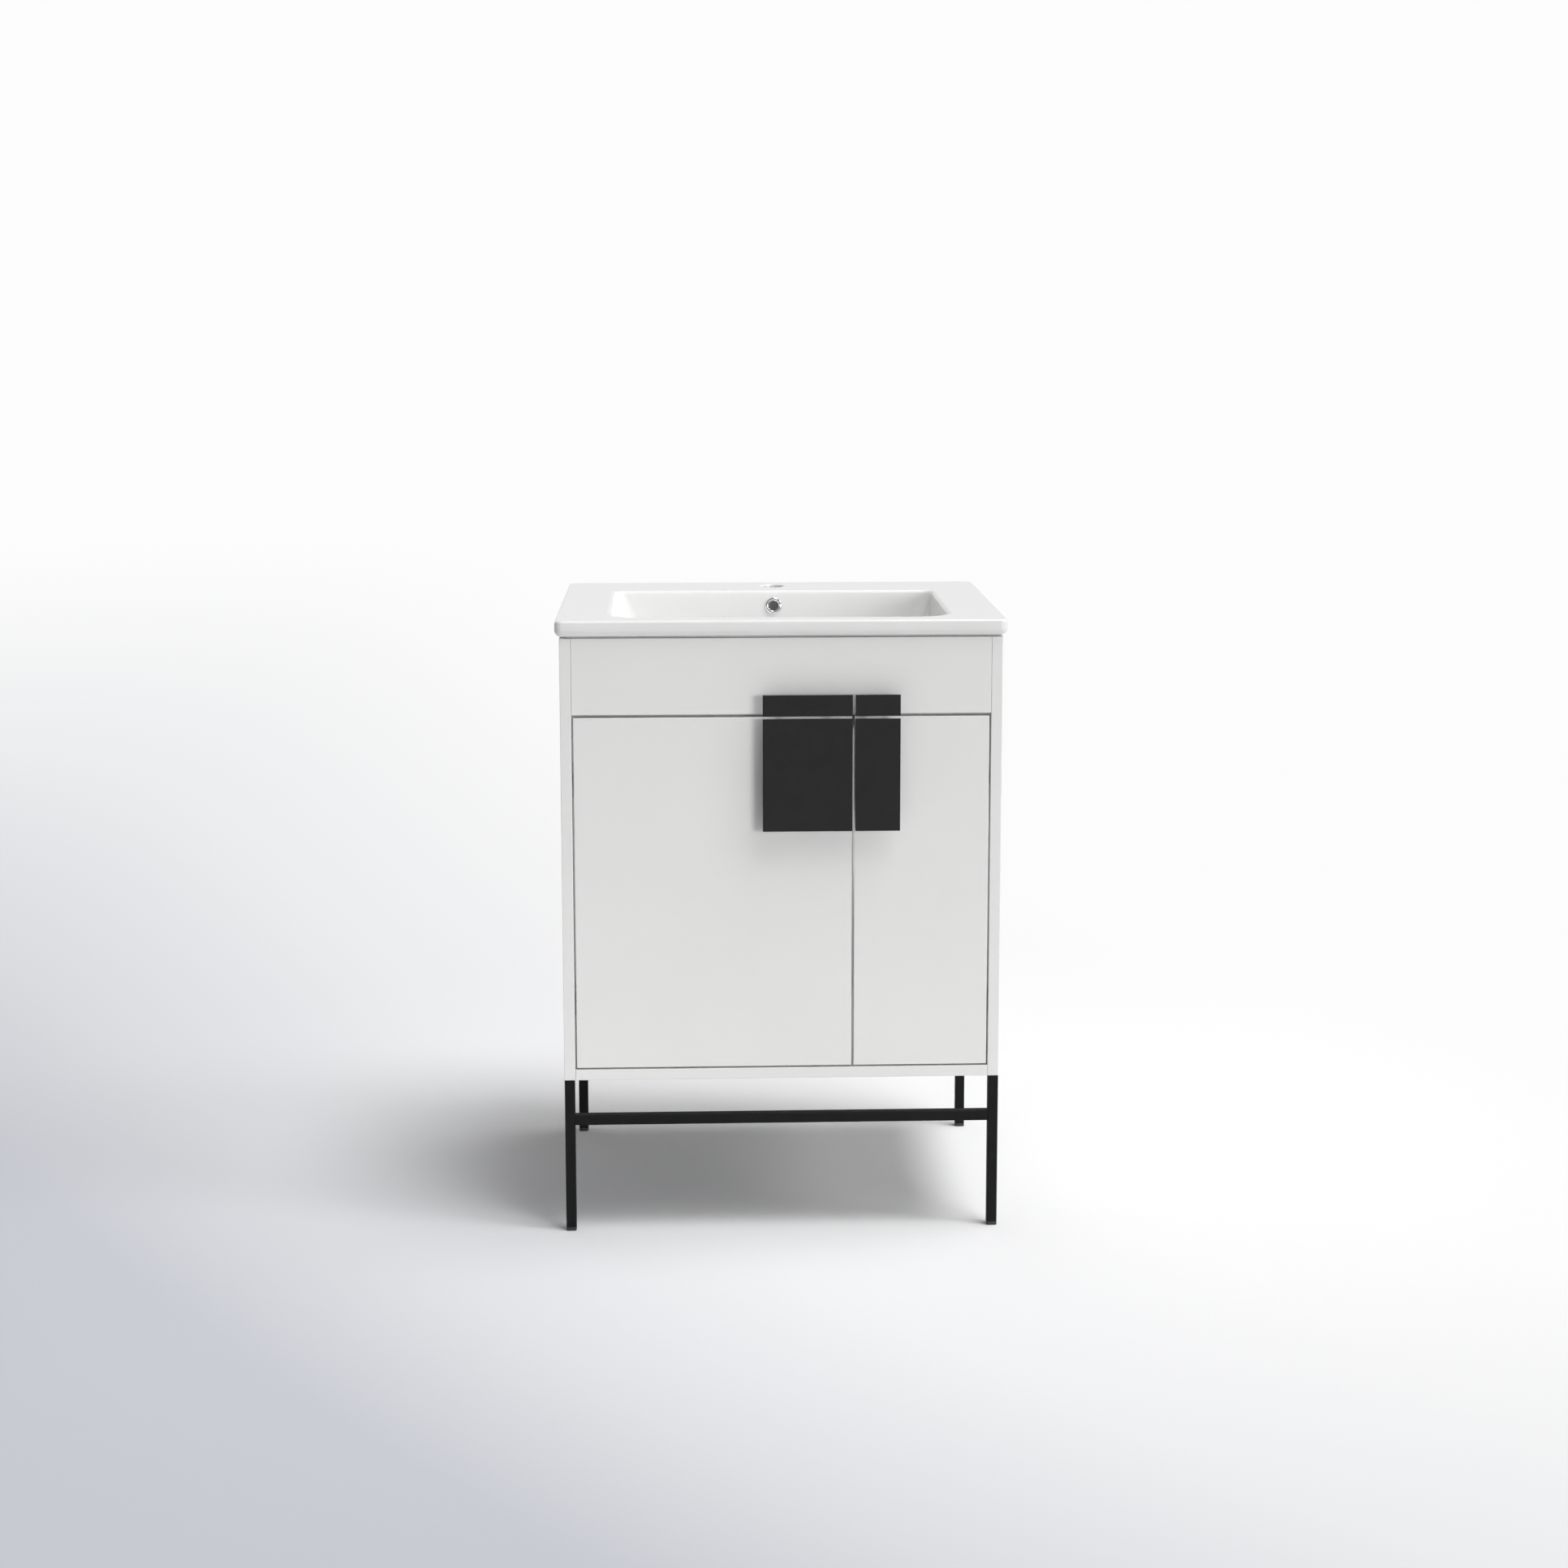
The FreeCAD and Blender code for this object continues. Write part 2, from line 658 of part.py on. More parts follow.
def hinge_arm_screw():
    head, way = arm_screw_place()
    return screw(head, way, arm_screw_radius, arm_thickness + arm_screw_bite, small_head_radius, small_head_height)


def hinge_base():
    """The plate on the side panel: two wings for its screws and a ridge that the arm's rail straddles."""
    line = base_line - pin_depth
    wings = block((-pin_to_panel, base_wing_thickness - pin_to_panel), around(line, base_wing_length / 2),
                  around(0, base_wing_half_height))
    ridge_top = rail_x() - arm_thickness / 2 - fit_gap
    ridge_half = arm_rail_width / 2 - arm_thickness - fit_gap
    ridge = block((-pin_to_panel, ridge_top), (line - base_wing_length / 2, arm_rail_end - fit_gap),
                  around(0, ridge_half))
    base = fused([wings, ridge])
    holes = [prism(wood_screw_radius + glue_gap, point(-pin_to_panel, line, z),
                   point(base_wing_thickness - pin_to_panel, line, z)) for z in around(0, base_screw_spacing / 2)]
    head, way = arm_screw_place()
    holes.append(screw_hole(head, way, arm_screw_radius, arm_thickness + arm_screw_bite))
    return base.cut(holes)


def base_screw_places(side):
    """Head point, way and size of the screws of both base plates on one side panel."""
    x = side * (inner_half - base_wing_thickness)
    return [(point(x, base_line, height + z), X * side, wood_screw_radius, wood_screw_length)
            for height in hinge_heights.values() for z in around(0, base_screw_spacing / 2)]


def hinge_arm_screws():
    return Part.makeCompound([hinge_placed(hinge_arm_screw(), side, height)
                              for side in (-1, 1) for height in hinge_heights.values()])


def hinge_cup_screws(side):
    group = Part.makeCompound([screw(head, way, wood_screw_radius, wood_screw_length, small_head_radius,
                                     small_head_height) for head, way in cup_screw_places()])
    return Part.makeCompound([hinge_placed(group.copy(), side, height) for height in hinge_heights.values()])


# ---- doors ----------------------------------------------------------------------------------------------
def door(side, x, plate_x):
    panel = block(x, (0, door_thickness), (door_bottom, door_top))
    panel = fillet_where(panel, board_edge_radius, on_front(panel))
    bores = [cup_bore(cup_radius, door_back - cup_bore_depth)]
    bores += [screw_hole(head, way, wood_screw_radius, wood_screw_length) for head, way in cup_screw_places()]
    holes = [hinge_placed(bore.copy(), side, height) for bore in bores for height in hinge_heights.values()]
    holes += [post_screw_hole(place, door_thickness) for place in lower_post_places(plate_x)]
    return panel.cut(holes)


def bumpers(x):
    z = door_top - bumper_drop
    return Part.makeCompound([prism(bumper_radius, point(bx, door_thickness, z), point(bx, fascia_thickness, z))
                              for bx in (x[0] + bumper_setback, x[1] - bumper_setback)])


# ---- leg frame ------------------------------------------------------------------------------------------
def square_tube(center_a, center_b, start, end):
    """A standing square tube with rounded corners, open at both ends."""
    outer = block(around(center_a, tube / 2), around(center_b, tube / 2), (start, end))
    bore_half = tube / 2 - tube_wall
    bore = block(around(center_a, bore_half), around(center_b, bore_half), (start, end))
    return fillet_where(outer, tube_corner_radius, upright).cut(bore)


def leg(side, y):
    return square_tube(side * middle(leg_x), middle(y), cap_height, leg_height)


def crossbar(y):
    """A tube between the two legs of one frame, welded to their inner faces."""
    bar = square_tube(0, 0, -leg_x[0], leg_x[0])
    bar.rotate(ORIGIN, Y, 90)
    bar.translate(point(0, middle(y), bar_center_height))
    return bar


def foot_cap(side, y):
    """A plastic cap that plugs the tube's lower end and rests on the floor."""
    x = side * middle(leg_x)
    foot = block(around(x, tube / 2), around(middle(y), tube / 2), (0, cap_height))
    foot = foot.makeChamfer(cap_bevel, [edge for edge in foot.Edges if edge.BoundBox.ZMin < 1e-4])
    plug_half = tube / 2 - tube_wall - fit_gap
    plug = block(around(x, plug_half), around(middle(y), plug_half), (cap_height, cap_height + cap_plug_length))
    return fused([foot, plug])


def leg_plate_box(side, y, inward):
    """x and y pairs of the plate welded behind a leg's top; inward is the way from the leg, in Y."""
    x = mirrored(side, leg_x[1] - leg_plate_width, leg_x[1])
    start = y[1] if inward > 0 else y[0] - leg_plate_length
    return x, (start, start + leg_plate_length)


def leg_plate_holes(side, y, inward):
    """Screw places of one plate, kept under the bottom panel and clear of the side panel."""
    x, plate_span = leg_plate_box(side, y, inward)
    outer = side * (inner_half - leg_plate_screw_margin)
    inner = side * (leg_x[1] - leg_plate_width + leg_plate_screw_margin)
    rows = (plate_span[0] + leg_plate_screw_margin, plate_span[1] - leg_plate_screw_margin)
    return [(outer, rows[0]), (inner, rows[1])]


def leg_plate(side, y, inward):
    x, plate_span = leg_plate_box(side, y, inward)
    plate = block(x, plate_span, (leg_height - leg_plate_thickness, leg_height))
    holes = [prism(wood_screw_radius + glue_gap, point(hx, hy, leg_height - leg_plate_thickness),
                   point(hx, hy, leg_height)) for hx, hy in leg_plate_holes(side, y, inward)]
    return plate.cut(holes)


LEGS = {"front_left": (-1, front_leg_y, 1), "front_right": (1, front_leg_y, 1),
        "rear_left": (-1, rear_leg_y, -1), "rear_right": (1, rear_leg_y, -1)}


def leg_screw_places():
    z = leg_height - leg_plate_thickness
    return [(point(hx, hy, z), Z, wood_screw_radius, wood_screw_length)
            for corner in LEGS.values() for hx, hy in leg_plate_holes(*corner)]


def wood_screws():
    """The screws of the leg plates and of the hinges' base plates, which are all alike."""
    places = leg_screw_places() + base_screw_places(-1) + base_screw_places(1)
    return Part.makeCompound([screw(*place, small_head_radius, small_head_height) for place in places])


# ---- the whole cabinet, node by node ---------------------------------------------------------------------
def cabinet_nodes():
    nodes = {
        "sink_top": sink_top(),
        "overflow_ring": overflow_ring(),
        "sink_seal": sink_seal(),
        "left_side_panel": side_panel(-1),
        "right_side_panel": side_panel(1),
        "bottom_panel": bottom_panel(),
        "front_fascia": front_fascia(),
        "door_stop_rail": door_stop_rail(),
        "back_top_rail": back_top_rail(),
        "back_bottom_rail": back_bottom_rail(),
        "back_panel": back_panel(),
        "panel_dowels": dowels(),
        "upper_left_handle_plate": handle_plate(plate_left_x, plate_top_z),
        "upper_right_handle_plate": handle_plate(plate_right_x, plate_top_z),
        "fascia_handle_posts": posts(upper_post_places()),
        "fascia_post_screws": post_screws(upper_post_places(), fascia_thickness),
        "front_crossbar": crossbar(front_leg_y),
        "rear_crossbar": crossbar(rear_leg_y),
        "wood_screws": wood_screws(),
        "hinge_arm_screws": hinge_arm_screws(),
    }
    for corner, (side, y, inward) in LEGS.items():
        nodes[corner + "_leg"] = leg(side, y)
        nodes[corner + "_leg_plate"] = leg_plate(side, y, inward)
        nodes[corner + "_foot_cap"] = foot_cap(side, y)
    return nodes


def door_nodes(name, side, x, plate_x):
    places = lower_post_places(plate_x)
    nodes = {
        name + "_door": door(side, x, plate_x),
        name + "_door_handle_plate": handle_plate(plate_x, plate_low_z),
        name + "_door_handle_posts": posts(places),
        name + "_door_post_screws": post_screws(places, door_thickness),
        name + "_door_bumpers": bumpers(x),
        name + "_hinge_cup_screws": hinge_cup_screws(side),
    }
    for level, height in hinge_heights.items():
        hinge = level + "_" + name + "_hinge_"
        nodes[hinge + "cup"] = hinge_placed(hinge_cup(), side, height)
        nodes[hinge + "pin"] = hinge_placed(hinge_pin(), side, height)
        nodes[hinge + "arm"] = hinge_placed(hinge_arm(), side, height)
        nodes[hinge + "base"] = hinge_placed(hinge_base(), side, height)
    return nodes


def all_nodes():
    nodes = cabinet_nodes()
    nodes.update(door_nodes("left", -1, left_door_x, plate_left_x))
    nodes.update(door_nodes("right", 1, right_door_x, plate_right_x))
    return nodes


origin_y = (plate_y[0] + cabinet_back) / 2

os.makedirs("parts", exist_ok=True)
for node, shape in all_nodes().items():
    shape.translate(point(0, -origin_y, 0))
    shape.exportStep(os.path.join("parts", node + ".step"))
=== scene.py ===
# %% [markdown]
# # A bathroom vanity cabinet
# The CAD model gives every piece its true size and place. This file loads it, gives each piece its
# finish, and swaps the pieces whose CAD faces are too coarse to shine well - the glazed sink, its chrome
# ring, the screws, the bead under the sink, the foot caps and the door bumpers - for finer ones. Two
# boards are drawn in a little at their ends, so that their joints show as hairlines.
# Then it sets up a pale floor, soft light and a camera.

# %% Load the frame
import json
import math

import bmesh
import bpy
from mathutils import Matrix, Vector


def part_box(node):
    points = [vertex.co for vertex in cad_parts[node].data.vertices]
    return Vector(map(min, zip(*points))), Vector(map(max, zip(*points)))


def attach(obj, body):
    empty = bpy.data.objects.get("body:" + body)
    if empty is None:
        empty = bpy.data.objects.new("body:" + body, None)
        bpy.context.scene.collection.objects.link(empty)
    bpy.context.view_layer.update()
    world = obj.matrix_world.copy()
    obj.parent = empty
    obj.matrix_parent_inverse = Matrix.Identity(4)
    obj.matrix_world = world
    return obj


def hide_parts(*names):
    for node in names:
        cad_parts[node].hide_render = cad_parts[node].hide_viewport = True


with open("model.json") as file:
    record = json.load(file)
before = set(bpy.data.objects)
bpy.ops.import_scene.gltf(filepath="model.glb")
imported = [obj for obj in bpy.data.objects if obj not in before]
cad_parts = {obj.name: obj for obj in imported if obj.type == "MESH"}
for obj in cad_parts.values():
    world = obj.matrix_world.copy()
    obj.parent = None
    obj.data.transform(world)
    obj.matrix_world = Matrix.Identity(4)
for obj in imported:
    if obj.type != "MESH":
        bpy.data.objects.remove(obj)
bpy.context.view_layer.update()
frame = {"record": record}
MM = 0.001
record = frame["record"]
mounts = {mount["name"]: mount for mount in record["mounts"]}


# %% [markdown]
# ## Nodes
# Materials, light and several pieces below are all made of nodes. A node tree can be drawn by hand in an
# editor or, as here, built by a script, which is easier to read line by line. One helper adds a node,
# sets it, and feeds each input that it is given either a plain value or what another node puts out.

# %% Helpers for nodes
def link(tree, source, target):
    tree.links.new(source, target)


def node_of(tree, kind, feeds=None, **settings):
    """Add a node with its settings, and feed its inputs plain values or other nodes' outputs."""
    node = tree.nodes.new(kind)
    for key, value in settings.items():
        setattr(node, key, value)
    for socket, value in (feeds or {}).items():
        value = getattr(value, "socket", value)
        if isinstance(value, bpy.types.NodeSocket):
            link(tree, value, node.inputs[socket])
        else:
            node.inputs[socket].default_value = value
    return node


def map_range(tree, value, span, to=(0, 1), kind="LINEAR"):
    """Map a value from one span to another, and hold it at the second one's ends."""
    feeds = dict(zip(("Value", "From Min", "From Max", "To Min", "To Max"), (value, *span, *to)))
    return node_of(tree, "ShaderNodeMapRange", feeds, interpolation_type=kind).outputs["Result"]


def opaque(color):
    return (*color, 1)


def mixed(tree, factor, color_a, color_b):
    """The first colour at factor 0, the second at factor 1."""
    feeds = {"Factor": factor, "A": color_a, "B": color_b}
    return node_of(tree, "ShaderNodeMix", feeds, data_type="RGBA").outputs["Result"]


# %% [markdown]
# ## Materials
# Every finish is a Principled shader that reads the object's own coordinates, which are metres here, so a
# noise scale of 1000 gives grains about a millimetre across. A real surface is never perfectly even:
# one slow noise shifts the colour a little, the same noise shifts the roughness, and a fine noise
# raises tiny bumps. One helper builds that, and each finish only says how much of each it has.

# %% A helper for finishes
NOISE_SPAN = (0.3, 0.7)        # most of a noise's values lie between these
SLOW_DETAIL, FINE_DETAIL = 3.0, 2.0


def noise(tree, scale, detail, stretch):
    """A noise on object coordinates; stretch squeezes it along an axis, as brushing does."""
    where = node_of(tree, "ShaderNodeTexCoord").outputs["Object"]
    mapping = node_of(tree, "ShaderNodeMapping", {"Vector": where, "Scale": stretch})
    feeds = {"Vector": mapping.outputs["Vector"], "Scale": scale, "Detail": detail}
    return node_of(tree, "ShaderNodeTexNoise", feeds).outputs["Fac"]


def finish_of(name, colors, patch, roughness, grain, height, metallic=0.0, stretch=(1, 1, 1), **sockets):
    """A finish from two close colours in patches, a roughness range and a bump of fine grain."""
    material = bpy.data.materials.new(name)
    material.use_nodes = True
    tree = material.node_tree
    shader = tree.nodes["Principled BSDF"]
    slow = noise(tree, patch, SLOW_DETAIL, stretch)
    color = mixed(tree, map_range(tree, slow, NOISE_SPAN), *map(opaque, colors))
    bump = node_of(tree, "ShaderNodeBump", {"Strength": 1.0, "Distance": height,
                                            "Height": noise(tree, grain, FINE_DETAIL, stretch)})
    link(tree, color, shader.inputs["Base Color"])
    link(tree, map_range(tree, slow, NOISE_SPAN, roughness), shader.inputs["Roughness"])
    link(tree, bump.outputs["Normal"], shader.inputs["Normal"])
    shader.inputs["Metallic"].default_value = metallic
    for socket, value in sockets.items():
        shader.inputs[socket.replace("_", " ")].default_value = value
    return material


# %% [markdown]
# The cabinet has eleven finishes. Glaze is the smoothest: its waves are wide and shallow, left by the
# firing. Sprayed lacquer has a fine orange peel. Powder coat is rougher, with grains that can be felt.
# Pressed and plated steel carries faint drawn lines, so its noise is squeezed along one axis.

# %% The finishes
glaze = finish_of("sink_glaze", ((0.875, 0.875, 0.872), (0.86, 0.86, 0.858)), patch=9,
                  roughness=(0.06, 0.09), grain=30, height=0.00002,
                  Coat_Weight=0.15, Coat_Roughness=0.03, Specular_IOR_Level=0.4)
lacquer = finish_of("white_satin_lacquer", ((0.86, 0.86, 0.855), (0.845, 0.845, 0.84)), patch=5,
                    roughness=(0.34, 0.40), grain=700, height=0.000012)
frame_coat = finish_of("leg_powder_coat", ((0.005, 0.005, 0.0051), (0.008, 0.008, 0.0081)), patch=60,
                       roughness=(0.48, 0.58), grain=1500, height=0.00004, Specular_IOR_Level=0.15)
plate_coat = finish_of("plate_powder_coat", ((0.014, 0.014, 0.0143), (0.018, 0.018, 0.0183)), patch=40,
                       roughness=(0.52, 0.60), grain=1700, height=0.00003, Specular_IOR_Level=0.2)
chrome = finish_of("ring_chrome", ((0.78, 0.79, 0.80), (0.72, 0.73, 0.74)), patch=200,
                   roughness=(0.05, 0.10), grain=900, height=0.000002, metallic=1.0)
nickel = finish_of("hinge_nickel", ((0.66, 0.65, 0.63), (0.58, 0.57, 0.55)), patch=120,
                   roughness=(0.22, 0.32), grain=500, height=0.000006, metallic=1.0, stretch=(1, 0.15, 1))
zinc = finish_of("screw_zinc", ((0.62, 0.62, 0.60), (0.52, 0.52, 0.50)), patch=400,
                 roughness=(0.28, 0.40), grain=1800, height=0.00001, metallic=1.0)
cap_plastic = finish_of("foot_cap_plastic", ((0.028, 0.028, 0.029), (0.036, 0.036, 0.037)), patch=150,
                        roughness=(0.42, 0.52), grain=2200, height=0.00002)
bumper_gel = finish_of("bumper_gel", ((0.84, 0.85, 0.84), (0.78, 0.79, 0.78)), patch=300,
                       roughness=(0.20, 0.30), grain=1500, height=0.000005,
                       Transmission_Weight=0.6, IOR=1.45)
bead_silicone = finish_of("bead_silicone", ((0.75, 0.75, 0.74), (0.69, 0.69, 0.68)), patch=80,
                          roughness=(0.30, 0.42), grain=400, height=0.00003)
print(len(bpy.data.materials), "materials so far")


# %% [markdown]
# Dowels are turned from beech, so their colour runs in long narrow streaks along the peg, which lies
# along X. The same helper does it with a noise that is squeezed hard along that axis.

# %% Beech, and each CAD piece in its finish
beech = finish_of("dowel_beech", ((0.74, 0.58, 0.40), (0.56, 0.40, 0.25)), patch=900,
                  roughness=(0.55, 0.70), grain=2500, height=0.00004, stretch=(0.04, 1, 1))
finishes = {"glazed_ceramic": glaze, "chrome_ring": chrome, "silicone_bead": bead_silicone,
            "white_lacquer": lacquer, "beech_dowel": beech, "black_plastic": cap_plastic,
            "clear_rubber": bumper_gel, "black_frame": frame_coat, "black_handle": plate_coat,
            "zinc_screws": zinc, "nickel_hinge": nickel}
slot_of = {part["node"]: part["material_slot"] for part in record["subparts"]}
body_of = {node: body for body, nodes in record["behaviour"]["bodies"].items() for node in nodes}
for node, slot in slot_of.items():
    mesh = bpy.data.objects[node].data
    mesh.materials.clear()
    mesh.materials.append(finishes[slot])
print(len(slot_of), "CAD pieces have their finishes")


# %% [markdown]
# ## Helpers that make pieces
# A new piece needs a mesh, the finish that its CAD piece had and the body that it moves with, and the CAD
# piece that it stands for has to be hidden. One helper does all but the mesh.

# %% Put a mesh into the scene
def new_object(name, data):
    piece = bpy.data.objects.new(name, data)
    bpy.context.scene.collection.objects.link(piece)
    return piece


def stand_for(piece, node):
    """Give a finished piece the finish of the CAD node's slot and the node's body, and hide the node."""
    piece.data.materials.clear()
    piece.data.materials.append(finishes[slot_of[node]])
    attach(piece, body_of[node])
    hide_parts(node)


def settle(piece):
    """Turn what the modifiers make into the piece's own plain mesh, and drop the modifiers."""
    bpy.context.view_layer.update()
    made = piece.evaluated_get(bpy.context.evaluated_depsgraph_get())
    mesh = bpy.data.meshes.new_from_object(made)
    piece.modifiers.clear()
    piece.data = mesh
    return piece


def shade(mesh, angle=35):
    """Smooth shading that stays crisp where two faces meet at more than the angle."""
    work = bmesh.new()
    work.from_mesh(mesh)
    for face in work.faces:
        face.smooth = True
    for edge in work.edges:
        edge.smooth = not edge.is_manifold or edge.calc_face_angle(0) < math.radians(angle)
    work.to_mesh(mesh)
    work.free()


def joined(name, meshes):
    """Several meshes as one, each still a part of its own."""
    work = bmesh.new()
    for part in meshes:
        work.from_mesh(part)
    mesh = bpy.data.meshes.new(name)
    work.to_mesh(mesh)
    work.free()
    return mesh


# %% [markdown]
# ## Geometry Nodes
# Geometry Nodes make the sink, the beads and the screws. Three helpers serve all of them: one starts a
# tree with a named input for every size and one for the finish, one runs a tree on a piece, and one ends
# a tree by making real mesh of its instances and giving it the finish.

# %% Helpers for geometry trees
def tree_with(name, sizes):
    """An empty geometry tree with an input for each size, and what its inputs put out."""
    tree = bpy.data.node_groups.new(name, "GeometryNodeTree")
    inputs = [("Geometry", "NodeSocketGeometry"), *((size, "NodeSocketFloat") for size in sizes),
              ("Finish", "NodeSocketMaterial")]
    for label, kind in inputs:
        tree.interface.new_socket(name=label, in_out="INPUT", socket_type=kind)
    tree.interface.new_socket(name="Geometry", in_out="OUTPUT", socket_type="NodeSocketGeometry")
    return tree, node_of(tree, "NodeGroupInput").outputs


def run_tree(piece, tree, values):
    """Run a tree on a piece with its named inputs set, and keep the result as a plain mesh."""
    modifier = piece.modifiers.new(tree.name, "NODES")
    modifier.node_group = tree
    names = {item.name: item.identifier for item in tree.interface.items_tree if item.in_out == "INPUT"}
    for label, value in values.items():
        modifier[names[label]] = value
    return settle(piece)


def finished(tree, geometry, finish):
    """End a tree: turn instances into real mesh, give it its finish, and hand it over."""
    realize = node_of(tree, "GeometryNodeRealizeInstances", {"Geometry": geometry})
    paint = node_of(tree, "GeometryNodeSetMaterial", {
        "Geometry": realize.outputs["Geometry"], "Material": finish})
    node_of(tree, "NodeGroupOutput", {"Geometry": paint.outputs["Geometry"]})


# %% [markdown]
# A rule with many sums would need a long list of Math nodes. The small class below lets a tree's values
# be written in a formula like plain numbers, and adds the Math nodes by itself.

# %% Values of a tree that can be used in sums
class Value:
    """A value inside a node tree. Sums with it add Math nodes to the tree."""

    def __init__(self, tree, socket):
        self.tree, self.socket = tree, socket

    def math(self, operation, *others):
        node = node_of(self.tree, "ShaderNodeMath", dict(enumerate((self, *others))), operation=operation)
        return Value(self.tree, node.outputs["Value"])

    def __add__(self, other):
        return self.math("ADD", other)

    def __sub__(self, other):
        return self.math("SUBTRACT", other)

    def __mul__(self, other):
        return self.math("MULTIPLY", other)

    def __truediv__(self, other):
        return self.math("DIVIDE", other)

    def within(self, low, high):
        """This value, held between two others."""
        return self.math("MAXIMUM", low).math("MINIMUM", high)

    def toward(self, other, share):
        """This value at share 0, the other at share 1."""
        return self + (other - self) * share


# %% [markdown]
# ## The sink: a rule for every level
# The real sink is cast in one piece and glazed. Its shape follows a rule: every level cut through it is a
# rectangle with rounded corners, and only its size, place and corner radii change on the way. That holds
# for the slab's edge and for the basin, whose walls lean in by their drafts, and even for the drain, since
# a circle is a square whose corners are rounded as far as they go. So one Geometry Nodes tree makes the
# whole shell. It could be drawn ring by ring in mesh code, but as a rule every size stays a named input.

# %% The sink's sizes, from the frame and in metres
low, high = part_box("sink_top")
top = high.z
faucet = Vector(mounts["faucet_hole"]["pos_m"])
faucet_radius = mounts["faucet_hole"]["dims"]["r_mm"] * MM
drain = Vector(mounts["drain_hole"]["pos_m"])
drain_radius = mounts["drain_hole"]["dims"]["r_mm"] * MM
edge_height, deck, top_edge, low_edge = 22 * MM, 12 * MM, 3.5 * MM, 9 * MM
basin_front, basin_back = low.y + 39 * MM, high.y - 115 * MM
side_draft, front_draft, back_draft = (math.tan(math.radians(a)) for a in (11, 18, 8))
rim_radius, wall_depth, foot_radius, wall = 5 * MM, 92 * MM, 36 * MM, 10 * MM
dish_fall, seat_radius, seat_depth, boss_wall = 7 * MM, 31 * MM, 4 * MM, 10 * MM
floor_depth = wall_depth + foot_radius
sink_values = {
    "Slab width": high.x - low.x, "Slab front": low.y, "Slab back": high.y, "Slab corner": 11 * MM,
    "Basin width": 465 * MM, "Basin front": basin_front, "Basin back": basin_back,
    "Front corner": 52 * MM, "Back corner": 14 * MM, "Corner growth": 0.35,
    "Side draft": side_draft, "Front draft": front_draft, "Back draft": back_draft,
    "Drain radius": drain_radius, "Drain place": drain.y, "Top": top}
print("sink", {name: round(value, 4) for name, value in sink_values.items()})

# %% [markdown]
# The tree starts from a grid. One way across it runs round a level and the other way runs from level to
# level, and the rule moves each of its points to its place. The levels come in as a cloud of points with
# three values on each: the depth below the deck, how far the outline is drawn in there, and the form,
# which is 0 on the slab, 1 in the basin and 2 at the drain. In between, the floor goes from 1 to 2.

# %% The sink tree: which level and which step round it a grid point belongs to
ARC_STEPS, SIDE_STEPS = 16, 20
QUARTER_STEPS = ARC_STEPS + SIDE_STEPS
RING_POINTS = 4 * QUARTER_STEPS + 1
sink_tree, given = tree_with("sink_from_levels", sink_values)
sink_size = {name: Value(sink_tree, given[name]) for name in sink_values}
count = node_of(sink_tree, "GeometryNodeAttributeDomainSize", {"Geometry": given["Geometry"]},
                component="MESH")
grid = node_of(sink_tree, "GeometryNodeMeshGrid", {
    "Vertices X": count.outputs["Point Count"], "Vertices Y": RING_POINTS})
number = Value(sink_tree, node_of(sink_tree, "GeometryNodeInputIndex").outputs["Index"])
own_level = (number / RING_POINTS).math("FLOOR")
own_step = number - own_level * RING_POINTS
quarter_turn = (own_step / QUARTER_STEPS).math("FLOOR")
into_quarter = own_step - quarter_turn * QUARTER_STEPS


def on_level(name):
    """The value that the grid point's own level carries under this name."""
    attribute = node_of(sink_tree, "GeometryNodeInputNamedAttribute", {"Name": name}, data_type="FLOAT")
    sample = node_of(sink_tree, "GeometryNodeSampleIndex", {
        "Geometry": given["Geometry"], "Value": attribute.outputs["Attribute"],
        "Index": own_level}, data_type="FLOAT", domain="POINT")
    return Value(sink_tree, sample.outputs["Value"])


depth, inset, form = (on_level(name) for name in ("depth", "inset", "form"))
print("each level has", RING_POINTS, "points")

# %% [markdown]
# The outline of a level is five numbers: half its width, its front, its back, and the radii of its front
# and back corners. The slab, the basin and the drain each have their own formula for them, and the form
# blends the three. The back corners of the basin open out three times as fast as the front ones.

# %% The sink tree: the outline of a level
in_basin, at_drain = form.within(0, 1), (form - 1).within(0, 1)
slab_radius = (sink_size["Slab corner"] - inset).math("MAXIMUM", 1 * MM)
bore_radius = sink_size["Drain radius"] - inset
slab = (sink_size["Slab width"] / 2 - inset, sink_size["Slab front"] + inset,
        sink_size["Slab back"] - inset, slab_radius, slab_radius)
basin = (sink_size["Basin width"] / 2 - depth * sink_size["Side draft"] - inset,
         sink_size["Basin front"] + depth * sink_size["Front draft"] + inset,
         sink_size["Basin back"] - depth * sink_size["Back draft"] - inset,
         sink_size["Front corner"] + depth * sink_size["Corner growth"] / 3,
         sink_size["Back corner"] + depth * sink_size["Corner growth"])
bore = (bore_radius, sink_size["Drain place"] - bore_radius, sink_size["Drain place"] + bore_radius,
        bore_radius, bore_radius)
half, front, back, front_radius, back_radius = (
    a.toward(b, in_basin).toward(c, at_drain) for a, b, c in zip(slab, basin, bore))
print("with the outline the tree has", len(sink_tree.nodes), "nodes")

# %% [markdown]
# Round a level, the direction turns while the point is in a corner and rests while it is on a side, where
# the centre of the one corner moves over to the centre of the next. So each point is a centre plus a
# radius in a direction, in the corners and on the sides alike. Steps that fall together, as on the
# drain's circle, are merged at the end, and that also closes the shell.

# %% The sink tree: place the points and close the shell
QUARTER = math.pi / 2


